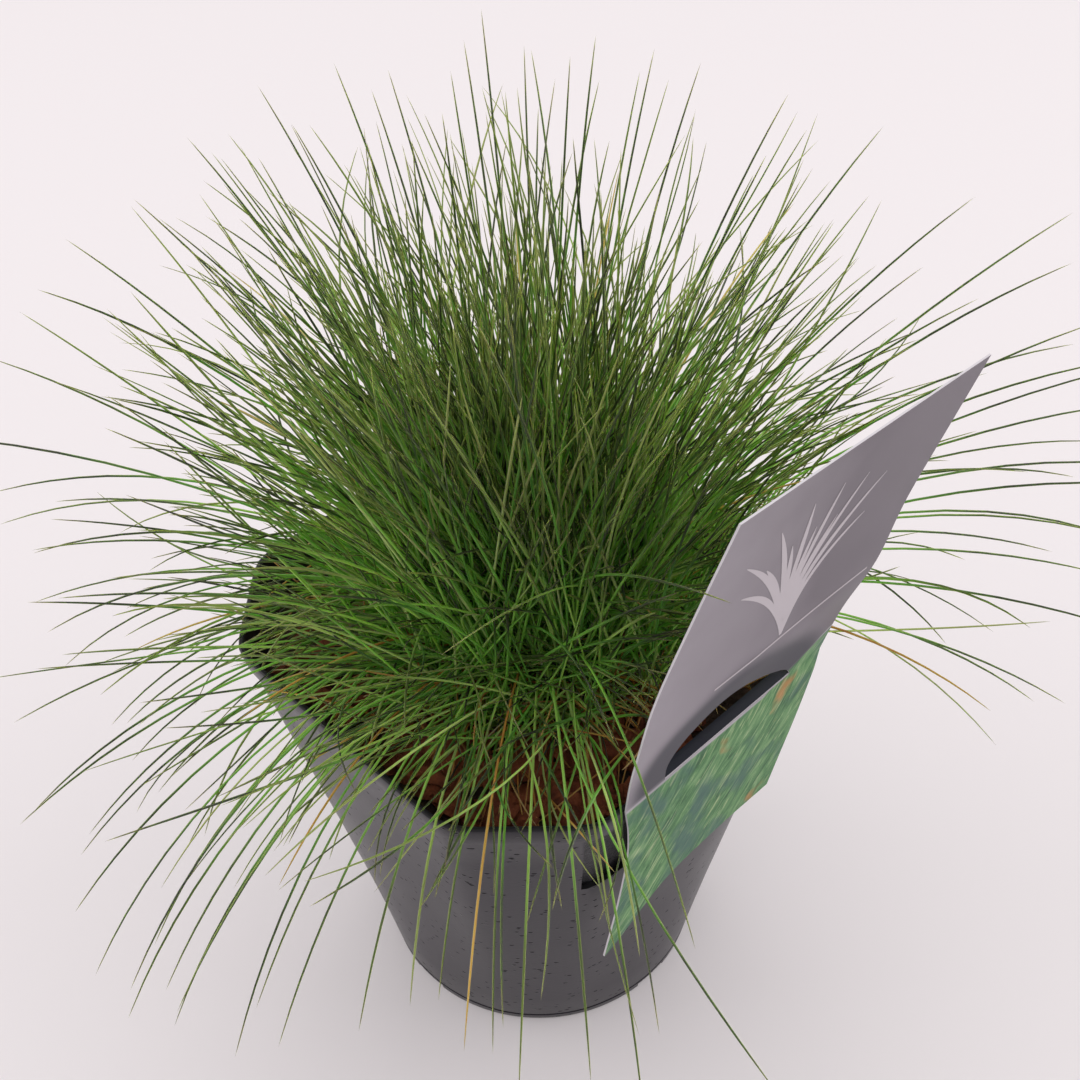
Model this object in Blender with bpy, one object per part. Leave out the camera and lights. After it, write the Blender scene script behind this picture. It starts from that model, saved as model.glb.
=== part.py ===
# Potted tuft grass: an octagonal-rimmed nursery pot with its soil, loose bark chips,
# a plant label hooked over the rim and one tussock of thread-like leaves.
# Lengths below are in millimetres. The pot stands on z = 0 with its axis on Z,
# and the cut corner that faces the viewer points along -Y.
import math
import random

import bmesh
import bpy
import numpy as np
from mathutils import Matrix, Vector, noise

MM = 0.001
GAP = 0.3

# Pot
POT_HEIGHT = 129.0
RIM_ACROSS = 130.0
CHAMFER_LEG = 24.8
CORNER_SHARPNESS = 48
BASE_RADIUS = 47.3
WALL = 1.0
WALL_BANDS = 4
COLLAR_HEIGHT = 6.6
COLLAR_STEP = 0.8
FLOOR_TOP = 4.2
RECESS_HEIGHT = 3.0
FOOT_RING_WIDTH = 4.3
CENTRE_PAD_RADIUS = 14.0
DRAIN_HOLES = 8
DRAIN_HOLE_RADIUS = 4.0
DRAIN_CIRCLE_RADIUS = 29.0
FOOT_GAP_WIDTH = 11.0
FOOT_GAP_HEIGHT = 2.2
POCKET_TURN = (-79.0, -65.5)
POCKET_SPAN = (94.0, 121.4)
POCKET_DEPTH = 1.6
POCKET_CLEARANCE = 1.5

# Soil and bark
SOIL_EDGE_DEPTH = 13.0
SOIL_MOUND = 4.0
SOIL_LUMP = 1.1
CHIP_COUNT = 12
CHIP_CIRCLE_RADIUS = 46.0

# Label: the card's outline is given along the rim (T) and up the card (S) from the fold
CARD_THICKNESS = 0.5
CARD_STANDOFF = 0.6
CARD_LEAN_ABOVE = 10.0
CARD_LEAN_BELOW = -4.0
TONGUE_LEAN = 9.5
TONGUE_ROOM = 5.4
WINDOW = [(-20, 0), (-20.8, 6.5), (-18.6, 11.6), (-14, 15.6), (-6.5, 19),
          (0.5, 18.2), (8.5, 14.2), (16.5, 9.2), (22.5, 4.6), (26, 0)]
CARD_UPPER = [(-33, 0), (-34.5, 19), (-34, 39), (-28, 64), (-20.6, 89.3),
              (22, 85.8), (66, 82.2), (60, 52), (53, 22), (38, 0)]
CARD_LOWER = [[(-33, 0), (-20, 0), (26, 0), (38, 0)],
              [(-31, -18), (-15, -18), (18, -18), (33.5, -20)],
              [(-36, -60), (-16, -48), (10, -45.5), (26, -46)]]

# Tussock
CROWN = (3.0, 6.0)
CROWN_RADIUS = 24.0
HEART_PROFILE = [(24, 0), (30, 9), (45, 22), (54, 38), (51, 56), (38, 71), (19, 80)]
HEART_SIDES = 20
HEART_TOP = 83.0
LOCK_START_DEPTH = 7.0
LOCK_SIDES = 4
LOCK_RINGS = 6
LINE_STEPS = 24
# One row per tier, from the top down: count, first slope, bend over the length, length, width, first azimuth
LOCK_TIERS = [(6, 84, 16, 131, 11.0, 20),
              (10, 72, 26, 136, 10.5, 5),
              (14, 57, 38, 136, 9.5, 12),
              (15, 44, 56, 132, 8.5, 0),
              (15, 35, 92, 128, 8.0, 10),
              (12, 36, 132, 152, 6.5, -4)]
TO_THE_RIGHT = 0.05
# Single long leaves that stand clear of the rest: azimuth, first slope, bend, length, width
STRAY_LOCKS = [(-173, 38, 32, 156, 4.0), (6, 47, 26, 158, 4.0), (-7, 40, 34, 156, 4.0), (101, 78, 16, 141, 4.0)]
CARD_CLEARANCE = 6.0
CARD_REACH = (-42.0, 44.0)
CARD_SPREAD = 0.35


def material(name, hex_colour, roughness):
    """A plain finish: the sRGB colour as a Principled BSDF."""
    finish = bpy.data.materials.new(name)
    finish.use_nodes = True
    shader = finish.node_tree.nodes["Principled BSDF"]
    channels = [int(hex_colour[i:i + 2], 16) / 255 for i in (0, 2, 4)]
    linear = [((c + 0.055) / 1.055) ** 2.4 if c > 0.04045 else c / 12.92 for c in channels]
    shader.inputs["Base Color"].default_value = (*linear, 1)
    shader.inputs["Roughness"].default_value = roughness
    finish.diffuse_color = (*linear, 1)
    return finish


def add_object(name, bm, finish=None, smooth_angle=None, triangles=True):
    """Turns a bmesh in millimetres into an object in metres, as flat triangles so that cuts are exact."""
    bmesh.ops.scale(bm, vec=(MM, MM, MM), verts=bm.verts)
    bmesh.ops.recalc_face_normals(bm, faces=bm.faces)
    if triangles:
        bmesh.ops.triangulate(bm, faces=bm.faces)
    mesh = bpy.data.meshes.new(name)
    bm.to_mesh(mesh)
    bm.free()
    obj = bpy.data.objects.new(name, mesh)
    bpy.context.scene.collection.objects.link(obj)
    if finish:
        mesh.materials.append(finish)
    if smooth_angle is not None:
        mesh.shade_smooth()
        mesh.set_sharp_from_angle(angle=math.radians(smooth_angle))
    return obj


def as_cutter(obj):
    obj.hide_render = True
    obj.display_type = "WIRE"
    return obj


def boolean(obj, operation, other):
    """Adds an exact Boolean with another object, or with all of a collection."""
    modifier = obj.modifiers.new(f"{operation.lower()}_{other.name}", "BOOLEAN")
    modifier.operation = operation
    modifier.solver = "EXACT"
    if isinstance(other, bpy.types.Collection):
        modifier.operand_type = "COLLECTION"
        modifier.collection = other
    else:
        modifier.object = other
    return modifier


def loft(bm, rings):
    """Closes a body from rings of equal length: bridged sides and two flat ends."""
    rows = [[bm.verts.new(point) for point in ring] for ring in rings]
    count = len(rows[0])
    for low, high in zip(rows, rows[1:]):
        for i in range(count):
            j = (i + 1) % count
            bm.faces.new((low[i], low[j], high[j], high[i]))
    bm.faces.new(rows[0][::-1])
    bm.faces.new(rows[-1])
    return rows


def polar(radius, azimuth, height):
    return (radius * math.cos(azimuth), radius * math.sin(azimuth), height)


# Pot sections

CHAMFER_DISTANCE = (2 * RIM_ACROSS / 2 - CHAMFER_LEG) / math.sqrt(2)
CHAMFER_HALF_TURN = math.atan2(CHAMFER_LEG / math.sqrt(2), CHAMFER_DISTANCE)


def rim_radius(azimuth):
    """Distance from the axis to the rounded eight-sided rim."""
    total = 0.0
    for side in range(8):
        facing = math.radians(-90 + 45 * side)
        distance = RIM_ACROSS / 2 if side % 2 else CHAMFER_DISTANCE
        total += max(math.cos(azimuth - facing) / distance, 0) ** CORNER_SHARPNESS
    return total ** (-1 / CORNER_SHARPNESS)


def wall_radius(azimuth, height, inset=0.0):
    """The wall runs straight from the round base to the rim, under the collar's step."""
    share = height / POT_HEIGHT
    return BASE_RADIUS * (1 - share) + (rim_radius(azimuth) - COLLAR_STEP) * share - inset


def section_azimuths():
    """Azimuths round the pot, closest together at the rim's eight corners."""
    azimuths = []
    for quarter in range(4):
        centre = math.radians(-90 + 90 * quarter)
        first = centre - CHAMFER_HALF_TURN
        second = centre + CHAMFER_HALF_TURN
        third = first + math.pi / 2
        for start, end, steps in ((first, second, 4), (second, third, 8)):
            for i in range(steps):
                share = 0.5 - 0.5 * math.cos(math.pi * i / steps)
                azimuths.append(start + (end - start) * share)
    return azimuths


AZIMUTHS = section_azimuths()


def section(height, inset=0.0):
    return [polar(wall_radius(a, height, inset), a, height) for a in AZIMUTHS]


def sections(low, high, inset=0.0):
    """Rings between two heights, close enough that the wall's twist keeps true in flat triangles."""
    return [section(low + (high - low) * i / WALL_BANDS, inset) for i in range(WALL_BANDS + 1)]


def sector_block(bm, turn, heights, insets, steps=4):
    """A curved block between two insets of the wall, used to cut the label's pocket."""
    rings = []
    for height in heights:
        ring = []
        for inset, order in ((insets[0], range(steps + 1)), (insets[1], range(steps, -1, -1))):
            for i in order:
                azimuth = math.radians(turn[0] + (turn[1] - turn[0]) * i / steps)
                ring.append(polar(wall_radius(azimuth, height, inset), azimuth, height))
        rings.append(ring)
    loft(bm, rings)


def make_pot(finish):
    top = POT_HEIGHT
    collar_foot = top - COLLAR_HEIGHT
    bm = bmesh.new()
    loft(bm, [section(0, 0.8), section(0.8), section(3.0), section(3.4, 0.35)] + sections(3.8, collar_foot)
         + [section(collar_foot + 0.4, -COLLAR_STEP), section(top - 0.8, -COLLAR_STEP),
            section(top, 0.6 - COLLAR_STEP)])
    pot = add_object("pot", bm, finish, 35)

    bm = bmesh.new()
    loft(bm, sections(FLOOR_TOP, top + 5, WALL))
    cavity = as_cutter(add_object("pot_cavity", bm))
    bm = bmesh.new()
    sector_block(bm, (POCKET_TURN[0] - 1.1, POCKET_TURN[1] + 1.1),
                 (POCKET_SPAN[0] - WALL, POCKET_SPAN[1] + WALL), (-2, POCKET_DEPTH + WALL))
    pocket_back = as_cutter(add_object("pocket_back", bm))
    boolean(cavity, "DIFFERENCE", pocket_back)

    bm = bmesh.new()
    sector_block(bm, POCKET_TURN, POCKET_SPAN, (-3, POCKET_DEPTH))
    pocket = as_cutter(add_object("pocket_cutter", bm))

    bm = bmesh.new()
    inner = BASE_RADIUS - FOOT_RING_WIDTH
    bmesh.ops.create_cone(bm, cap_ends=True, segments=48, radius1=inner, radius2=inner, depth=10,
                          matrix=Matrix.Translation((0, 0, RECESS_HEIGHT - 5)))
    recess = as_cutter(add_object("underside_cutter", bm))
    bm = bmesh.new()
    bmesh.ops.create_cone(bm, cap_ends=True, segments=24, radius1=CENTRE_PAD_RADIUS,
                          radius2=CENTRE_PAD_RADIUS, depth=20)
    pad = as_cutter(add_object("centre_pad_guide", bm))
    boolean(recess, "DIFFERENCE", pad)

    bm = bmesh.new()
    for i in range(DRAIN_HOLES):
        turn = 2 * math.pi * (i + 0.5) / DRAIN_HOLES
        bmesh.ops.create_cone(bm, cap_ends=True, segments=10, radius1=DRAIN_HOLE_RADIUS,
                              radius2=DRAIN_HOLE_RADIUS, depth=20,
                              matrix=Matrix.Translation(polar(DRAIN_CIRCLE_RADIUS, turn, 0)))
    for i in range(4):
        turn = math.radians(45 + 90 * i)
        place = Matrix.Translation(polar(BASE_RADIUS, turn, 0)) @ Matrix.Rotation(turn, 4, "Z")
        size = Matrix.Diagonal((FOOT_RING_WIDTH * 4, FOOT_GAP_WIDTH, FOOT_GAP_HEIGHT * 2, 1))
        bmesh.ops.create_cube(bm, size=1, matrix=place @ size)
    drains = as_cutter(add_object("drain_cutter", bm))

    for cutter in (cavity, pocket, recess, drains):
        boolean(pot, "DIFFERENCE", cutter)
    return pot


def soil_height(x, y):
    """The soil's lumpy top, a little higher round the crown and level under it."""
    edge = POT_HEIGHT - SOIL_EDGE_DEPTH
    reach = math.hypot(x - CROWN[0], y - CROWN[1])
    mound = SOIL_MOUND * 0.5 * (1 + math.cos(math.pi * min(max(reach - CROWN_RADIUS, 0) / 38, 1)))
    lump = SOIL_LUMP * noise.noise(Vector((x * 0.09, y * 0.09, 3.1)))
    return edge + mound + lump * min(max(reach - CROWN_RADIUS, 0) / 10, 1)


def make_soil(finish):
    inset = WALL + GAP
    bm = bmesh.new()
    rings = sections(FLOOR_TOP + GAP, POT_HEIGHT - SOIL_EDGE_DEPTH - 3, inset)
    edge = []
    for a in AZIMUTHS:
        radius = wall_radius(a, POT_HEIGHT - SOIL_EDGE_DEPTH, inset)
        height = soil_height(radius * math.cos(a), radius * math.sin(a))
        edge.append(polar(wall_radius(a, height, inset), a, height))
    rings.append(edge)
    for share in (0.86, 0.7, 0.53, 0.34):
        ring = []
        for x, y, _ in edge:
            x = x * share + CROWN[0] * (1 - share)
            y = y * share + CROWN[1] * (1 - share)
            ring.append((x, y, soil_height(x, y)))
        rings.append(ring)
    loft(bm, rings)
    soil = add_object("potting_soil", bm, finish, 40)

    bm = bmesh.new()
    sector_block(bm, (POCKET_TURN[0] - 2, POCKET_TURN[1] + 2), (POCKET_SPAN[0] - 2 * WALL, POT_HEIGHT - 3),
                 (-2, POCKET_DEPTH + WALL + POCKET_CLEARANCE))
    pocket = as_cutter(add_object("soil_pocket_cutter", bm))
    bm = bmesh.new()
    turn = [math.degrees(math.atan2(t, RIM_ACROSS / 2)) + margin - 45 for t, margin in ((-20.8, -2), (26, 2))]
    sector_block(bm, turn, (POT_HEIGHT - max(s for _, s in WINDOW), POT_HEIGHT), (-3, TONGUE_ROOM), 9)
    tongue = as_cutter(add_object("soil_tongue_cutter", bm))
    boolean(soil, "DIFFERENCE", pocket)
    boolean(soil, "DIFFERENCE", tongue)
    return soil


def make_bark_chips(finish):
    """Irregular slabs of bark that lie round the crown, each just clear of the soil."""
    rng = random.Random(7)
    for number in range(CHIP_COUNT):
        turn = math.radians(-90 + 360 * number / CHIP_COUNT + rng.uniform(-4, 4))
        length = rng.uniform(15, 20)
        width = rng.uniform(9, 12.5)
        thick = rng.uniform(3.2, 4.6)
        outline = []
        for corner in range(8):
            angle = 2 * math.pi * (corner + rng.uniform(-0.25, 0.25)) / 8
            reach = rng.uniform(0.82, 1.0)
            outline.append((reach * length / 2 * math.cos(angle), reach * width / 2 * math.sin(angle)))
        sag = rng.uniform(-0.006, 0.006)
        rings = []
        for level, swell in ((0.0, 0.8), (0.45, 1.0), (1.0, rng.uniform(0.62, 0.8))):
            rings.append([(x * swell, y * swell, level * thick + sag * x * x) for x, y in outline])
        place = (Matrix.Translation(polar(CHIP_CIRCLE_RADIUS + rng.uniform(-1, 2.5), turn, 0))
                 @ Matrix.Rotation(turn + rng.uniform(0.9, 2.2), 4, "Z")
                 @ Matrix.Rotation(math.radians(rng.uniform(-7, 7)), 4, "X")
                 @ Matrix.Rotation(math.radians(rng.uniform(-5, 5)), 4, "Y"))
        points = [[place @ Vector(p) for p in ring] for ring in rings]
        lift = max(soil_height(p.x, p.y) - p.z for ring in points for p in ring) + 2 * GAP
        bm = bmesh.new()
        loft(bm, [[p + Vector((0, 0, lift)) for p in ring] for ring in points])
        add_object(f"bark_chip_{number + 1:02d}", bm, finish, 30)


# Label

RIM_OUT = Vector((1, -1, 0)).normalized()
RIM_ALONG = Vector((1, 1, 0)).normalized()
FOLD_OUT = RIM_ACROSS / 2 + CARD_STANDOFF
FOLD_HEIGHT = POT_HEIGHT + GAP + CARD_THICKNESS / 2


def card_point(along, up):
    """A point of the hanging card: it leans outward above the fold, and towards the pot below it."""
    lean = math.radians(CARD_LEAN_ABOVE if up > 0 else -CARD_LEAN_BELOW)
    settle = min(max(-up - COLLAR_HEIGHT, 0) if up < 0 else up, abs(up))
    out = FOLD_OUT + math.copysign(settle * math.sin(lean), up)
    return RIM_OUT * out + RIM_ALONG * along + Vector((0, 0, FOLD_HEIGHT + up * math.cos(lean)))


def tongue_rows():
    """Rows of the tongue: the window's own outline, folded over the rim and down inside the wall."""
    inner = RIM_ACROSS / 2 - COLLAR_STEP - WALL - GAP - CARD_THICKNESS / 2
    bridge = FOLD_OUT - inner
    lean = math.radians(TONGUE_LEAN)
    rows = [[RIM_OUT * inner + RIM_ALONG * t + Vector((0, 0, FOLD_HEIGHT)) for t in (WINDOW[0][0], WINDOW[-1][0])]]
    for near, far in zip(WINDOW[1:5], WINDOW[-2:-6:-1]):
        depth = max((near[1] + far[1]) / 2 - bridge, 1)
        rows.append([RIM_OUT * (inner - depth * math.sin(lean)) + RIM_ALONG * t
                     + Vector((0, 0, FOLD_HEIGHT - depth * math.cos(lean))) for t in (near[0], far[0])])
    return rows


def make_label(finish):
    bm = bmesh.new()
    outer = [bm.verts.new(card_point(*point)) for point in CARD_UPPER]
    window = [bm.verts.new(card_point(*point)) for point in WINDOW]
    for i in range(len(outer) - 1):
        bm.faces.new((outer[i], outer[i + 1], window[i + 1], window[i]))
    rows = [[outer[0], window[0], window[-1], outer[-1]]]
    for row in CARD_LOWER[1:]:
        rows.append([bm.verts.new(card_point(*point)) for point in row])
    for high, low in zip(rows, rows[1:]):
        for i in range(len(high) - 1):
            bm.faces.new((high[i], high[i + 1], low[i + 1], low[i]))
    last = [window[0], window[-1]]
    for row in tongue_rows():
        verts = [bm.verts.new(point) for point in row]
        bm.faces.new((last[0], last[1], verts[1], verts[0]))
        last = verts
    label = add_object("plant_label", bm, finish, triangles=False)
    solidify = label.modifiers.new("card_thickness", "SOLIDIFY")
    solidify.thickness = CARD_THICKNESS * MM
    solidify.offset = 0
    solidify.use_even_offset = True
    return label


# Tussock

def lock_path(azimuth, slope, bend, length, steps):
    """A leaf's line from the crown: it starts at a slope and bends over, faster towards the tip."""
    start = Vector((CROWN[0], CROWN[1], soil_height(*CROWN) + 8))
    away = Vector((math.cos(azimuth), math.sin(azimuth), 0))
    points = [start + away * 10]
    for i in range(steps):
        share = (i + 0.5) / steps
        angle = math.radians(slope - bend * share ** 1.5)
        step = away * math.cos(angle) + Vector((0, 0, math.sin(angle)))
        points.append(points[-1] + step * (length / steps))
    return points


def clears_card(point):
    """Whether a point stays on the plant's side of the card, or passes it at its ends."""
    along = point.dot(RIM_ALONG)
    rise = max(point.z - FOLD_HEIGHT, 0)
    if not CARD_REACH[0] < along < CARD_REACH[1] + CARD_SPREAD * rise:
        return True
    lean = math.sin(math.radians(CARD_LEAN_ABOVE)) * rise
    return point.dot(RIM_OUT) < FOLD_OUT + lean - CARD_CLEARANCE


def lock_line(azimuth, slope, bend, length):
    """A lock that would meet the card stands steeper and shorter, until it clears it."""
    for step in range(6):
        line = lock_path(azimuth, slope + 7 * step, bend * 0.8 ** step, length * 0.96 ** step, LINE_STEPS)
        if all(clears_card(point) for point in line):
            return line
    return None


def inside_heart(point, depth):
    """Whether a point lies inside the dense heart by at least this depth."""
    rise = point.z - heart_foot()
    reach = math.hypot(point.x - CROWN[0], point.y - CROWN[1])
    profile = HEART_PROFILE + [(0, HEART_TOP)]
    for (r0, z0), (r1, z1) in zip(profile, profile[1:]):
        if z0 <= rise <= z1:
            return reach < r0 + (r1 - r0) * (rise - z0) / (z1 - z0) - depth
    return rise < 0


def heart_foot():
    return soil_height(*CROWN) + 2 * GAP


def lock_body(bm, points, azimuth, width, roll):
    """A tapered four-sided bundle of leaves along a line, turned by its roll and pointed at its tip."""
    rings = []
    last = len(points) - 1
    side = Vector((-math.sin(azimuth), math.cos(azimuth), 0))
    for i, point in enumerate(points):
        ahead = (points[min(i + 1, last)] - points[max(i - 1, 0)]).normalized()
        lift = ahead.cross(side)
        half = 0.5 * width * (1 - (i / last) ** 1.6) + 0.45
        turns = [roll + 2 * math.pi * k / LOCK_SIDES for k in range(LOCK_SIDES)]
        rings.append([point + side * (half * math.cos(t)) + lift * (0.7 * half * math.sin(t)) for t in turns])
    loft(bm, rings)


def make_tuft(finish):
    """The tussock: a dense heart, with locks that reach out to where the leaves end."""
    bm = bmesh.new()
    foot = heart_foot()
    rings = []
    for radius, rise in HEART_PROFILE:
        rings.append([(CROWN[0] + radius * math.cos(2 * math.pi * k / HEART_SIDES),
                       CROWN[1] + radius * math.sin(2 * math.pi * k / HEART_SIDES), foot + rise)
                      for k in range(HEART_SIDES)])
    loft(bm, rings)
    bm.faces.ensure_lookup_table()
    peak = bmesh.ops.poke(bm, faces=[bm.faces[-1]])["verts"][0]
    peak.co.z = foot + HEART_TOP
    tuft = add_object("leaf_tuft", bm, finish, 40)

    rng = random.Random(21)
    locks = []
    for count, slope, bend, length, width, first in LOCK_TIERS:
        for i in range(count):
            azimuth = first + 360 * i / count + rng.uniform(-0.15, 0.15) * 360 / count
            reach = length * rng.uniform(0.9, 1.04) * (1 + TO_THE_RIGHT * math.cos(math.radians(azimuth)))
            locks.append((azimuth, slope + rng.uniform(-3, 3), bend * rng.uniform(0.85, 1.15), reach, width))
    locks += STRAY_LOCKS
    family = bpy.data.collections.new("lock_family")
    bpy.context.scene.collection.children.link(family)
    for number, (azimuth, slope, bend, length, width) in enumerate(locks):
        line = lock_line(math.radians(azimuth), slope, bend, length)
        if line is None:
            continue
        start = max(i for i in range(LINE_STEPS * 2 // 3) if inside_heart(line[i], LOCK_START_DEPTH))
        chosen = np.linspace(start, len(line) - 1, LOCK_RINGS).round().astype(int)
        bm = bmesh.new()
        lock_body(bm, [line[i] for i in chosen], math.radians(azimuth), width, number * 0.61)
        lock = as_cutter(add_object(f"lock_{number:02d}", bm))
        bpy.context.scene.collection.objects.unlink(lock)
        family.objects.link(lock)
    family.hide_render = True
    boolean(tuft, "UNION", family)
    return tuft


def main():
    for obj in list(bpy.data.objects):
        bpy.data.objects.remove(obj)
    make_pot(material("dark_grey_pot_plastic", "504B54", 0.42))
    make_soil(material("dark_potting_soil", "2B211C", 0.95))
    make_bark_chips(material("red_brown_bark", "6E3420", 0.9))
    make_label(material("grey_label_card", "8C8890", 0.45))
    make_tuft(material("fescue_green", "4C7A26", 0.55))


main()
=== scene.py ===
import math
import random

import bmesh
import bpy
import numpy as np
from mathutils import Matrix, Vector, noise


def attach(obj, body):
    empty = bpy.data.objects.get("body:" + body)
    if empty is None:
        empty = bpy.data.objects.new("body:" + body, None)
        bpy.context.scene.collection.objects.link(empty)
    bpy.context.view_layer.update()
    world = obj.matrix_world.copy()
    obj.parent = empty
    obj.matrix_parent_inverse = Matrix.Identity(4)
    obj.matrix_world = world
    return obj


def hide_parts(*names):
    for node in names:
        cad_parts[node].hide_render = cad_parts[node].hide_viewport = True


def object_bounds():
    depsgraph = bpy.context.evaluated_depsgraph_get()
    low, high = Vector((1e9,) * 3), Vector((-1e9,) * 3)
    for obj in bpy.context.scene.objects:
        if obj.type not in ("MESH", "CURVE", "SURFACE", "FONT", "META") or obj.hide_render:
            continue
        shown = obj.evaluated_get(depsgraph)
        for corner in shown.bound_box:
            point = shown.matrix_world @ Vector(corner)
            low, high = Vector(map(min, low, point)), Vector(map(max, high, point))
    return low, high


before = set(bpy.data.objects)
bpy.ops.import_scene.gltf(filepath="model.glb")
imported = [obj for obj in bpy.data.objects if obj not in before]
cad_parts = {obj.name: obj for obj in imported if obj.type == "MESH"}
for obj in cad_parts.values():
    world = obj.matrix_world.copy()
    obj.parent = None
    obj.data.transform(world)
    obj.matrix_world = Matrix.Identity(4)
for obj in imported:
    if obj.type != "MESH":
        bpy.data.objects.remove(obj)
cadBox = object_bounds()
mm = 0.001
bpy.ops.object.select_all(action="DESELECT")


# Materials

def linearColour(hexColour):
    channels = [int(hexColour[i:i + 2], 16) / 255 for i in (0, 2, 4)]
    return tuple(((c + 0.055) / 1.055) ** 2.4 if c > 0.04045 else c / 12.92 for c in channels) + (1.0,)


def newMaterial(name, colour, roughness, sockets=None):
    made = bpy.data.materials.new(name)
    made.use_nodes = True
    shader = made.node_tree.nodes["Principled BSDF"]
    shader.inputs["Base Color"].default_value = linearColour(colour)
    shader.inputs["Roughness"].default_value = roughness
    for socket, value in (sockets or {}).items():
        shader.inputs[socket].default_value = value
    made.diffuse_color = linearColour(colour)
    return made, made.node_tree, shader


def addNode(tree, kind, settings=None, values=None, links=None):
    # settings are the node's own properties, values and links go to its sockets by name or number
    node = tree.nodes.new("ShaderNode" + kind)
    for name, value in (settings or {}).items():
        if name == "stops":
            while len(node.color_ramp.elements) < len(value):
                node.color_ramp.elements.new(0.5)
            for element, (place, colour) in zip(node.color_ramp.elements, value):
                element.position = place
                element.color = linearColour(colour)
        else:
            setattr(node, name, value)
    for socket, value in (values or {}).items():
        node.inputs[socket].default_value = linearColour(value) if isinstance(value, str) else value
    for socket, source in (links or {}).items():
        tree.links.new(source, node.inputs[socket])
    return node


# a Mix node set so takes its factor at 0 and its colours at 6 and 7, and the scale of a pattern on Object
# coordinates is 1000 over its size in millimetres
asColour = {"data_type": "RGBA"}


def leafMaterial(name, inner, outer, baseColour, tipColour, roughness):
    # grass blade, thin enough for light to glow through: u runs from base to tip and v is the leaf's own
    # tone, so fresh and dull leaves stand side by side, each with a pale foot and a drier tip. The first ramp
    # colours the lower half and the second the outer half, and on the fresh leaves both also carry painted
    # light and shade
    made, tree, shader = newMaterial(name, inner[1][1], roughness, {
        "Specular IOR Level": 0.45, "Subsurface Weight": 0.6, "Subsurface Radius": (0.7, 1.0, 0.25),
        "Subsurface Scale": 0.002})
    uv = addNode(tree, "UVMap", {"uv_map": "leafMap"})
    parts = addNode(tree, "SeparateXYZ", links={0: uv.outputs[0]})
    along, tone = parts.outputs[0], parts.outputs[1]
    near = addNode(tree, "ValToRGB", {"stops": inner}, links={0: tone}).outputs[0]
    far = addNode(tree, "ValToRGB", {"stops": outer}, links={0: tone}).outputs[0]
    half = addNode(tree, "MapRange", values={1: 0.44, 2: 0.76}, links={0: along}).outputs[0]
    colour = addNode(tree, "Mix", asColour, links={0: half, 6: near, 7: far}).outputs[2]
    base = addNode(tree, "MapRange", values={1: 0.0, 2: 0.22, 3: 0.9, 4: 0.0}, links={0: along}).outputs[0]
    colour = addNode(tree, "Mix", asColour, {7: baseColour}, {0: base, 6: colour}).outputs[2]
    tip = addNode(tree, "MapRange", values={1: 0.9, 2: 1.0, 3: 0.0, 4: 0.85}, links={0: along}).outputs[0]
    colour = addNode(tree, "Mix", asColour, {7: tipColour}, {0: tip, 6: colour}).outputs[2]
    tree.links.new(colour, shader.inputs["Base Color"])
    return made


# painted light and shade: the lower halves are brighter than the leaf's own green, painted light in the
# shaded crown, and the outer halves' dark greys paint the shade of leaves seen against the light; the tone
# still varies
freshLeaf = leafMaterial(
    "fresh_fescue_leaf",
    [(0.0, "5EA042"), (0.35, "88D054"), (0.7, "AAE468"), (1.0, "CEF094")],
    [(0.0, "252522"), (0.3, "313628"), (0.55, "444F2D"), (0.8, "66723F"), (1.0, "929268")],
    "A8BC60", "4A3E30", 0.45)
# dead leaves: dull straw, browner at the foot and the tip
dryLeaf = leafMaterial(
    "dry_straw_leaf",
    [(0.0, "7A4A22"), (0.4, "B4742F"), (0.75, "C7984E"), (1.0, "D8BE88")],
    [(0.0, "8A5A30"), (0.4, "C08A45"), (0.75, "CFAE70"), (1.0, "E0CFA0")],
    "7A5A34", "8A5B2E", 0.7)


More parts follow.
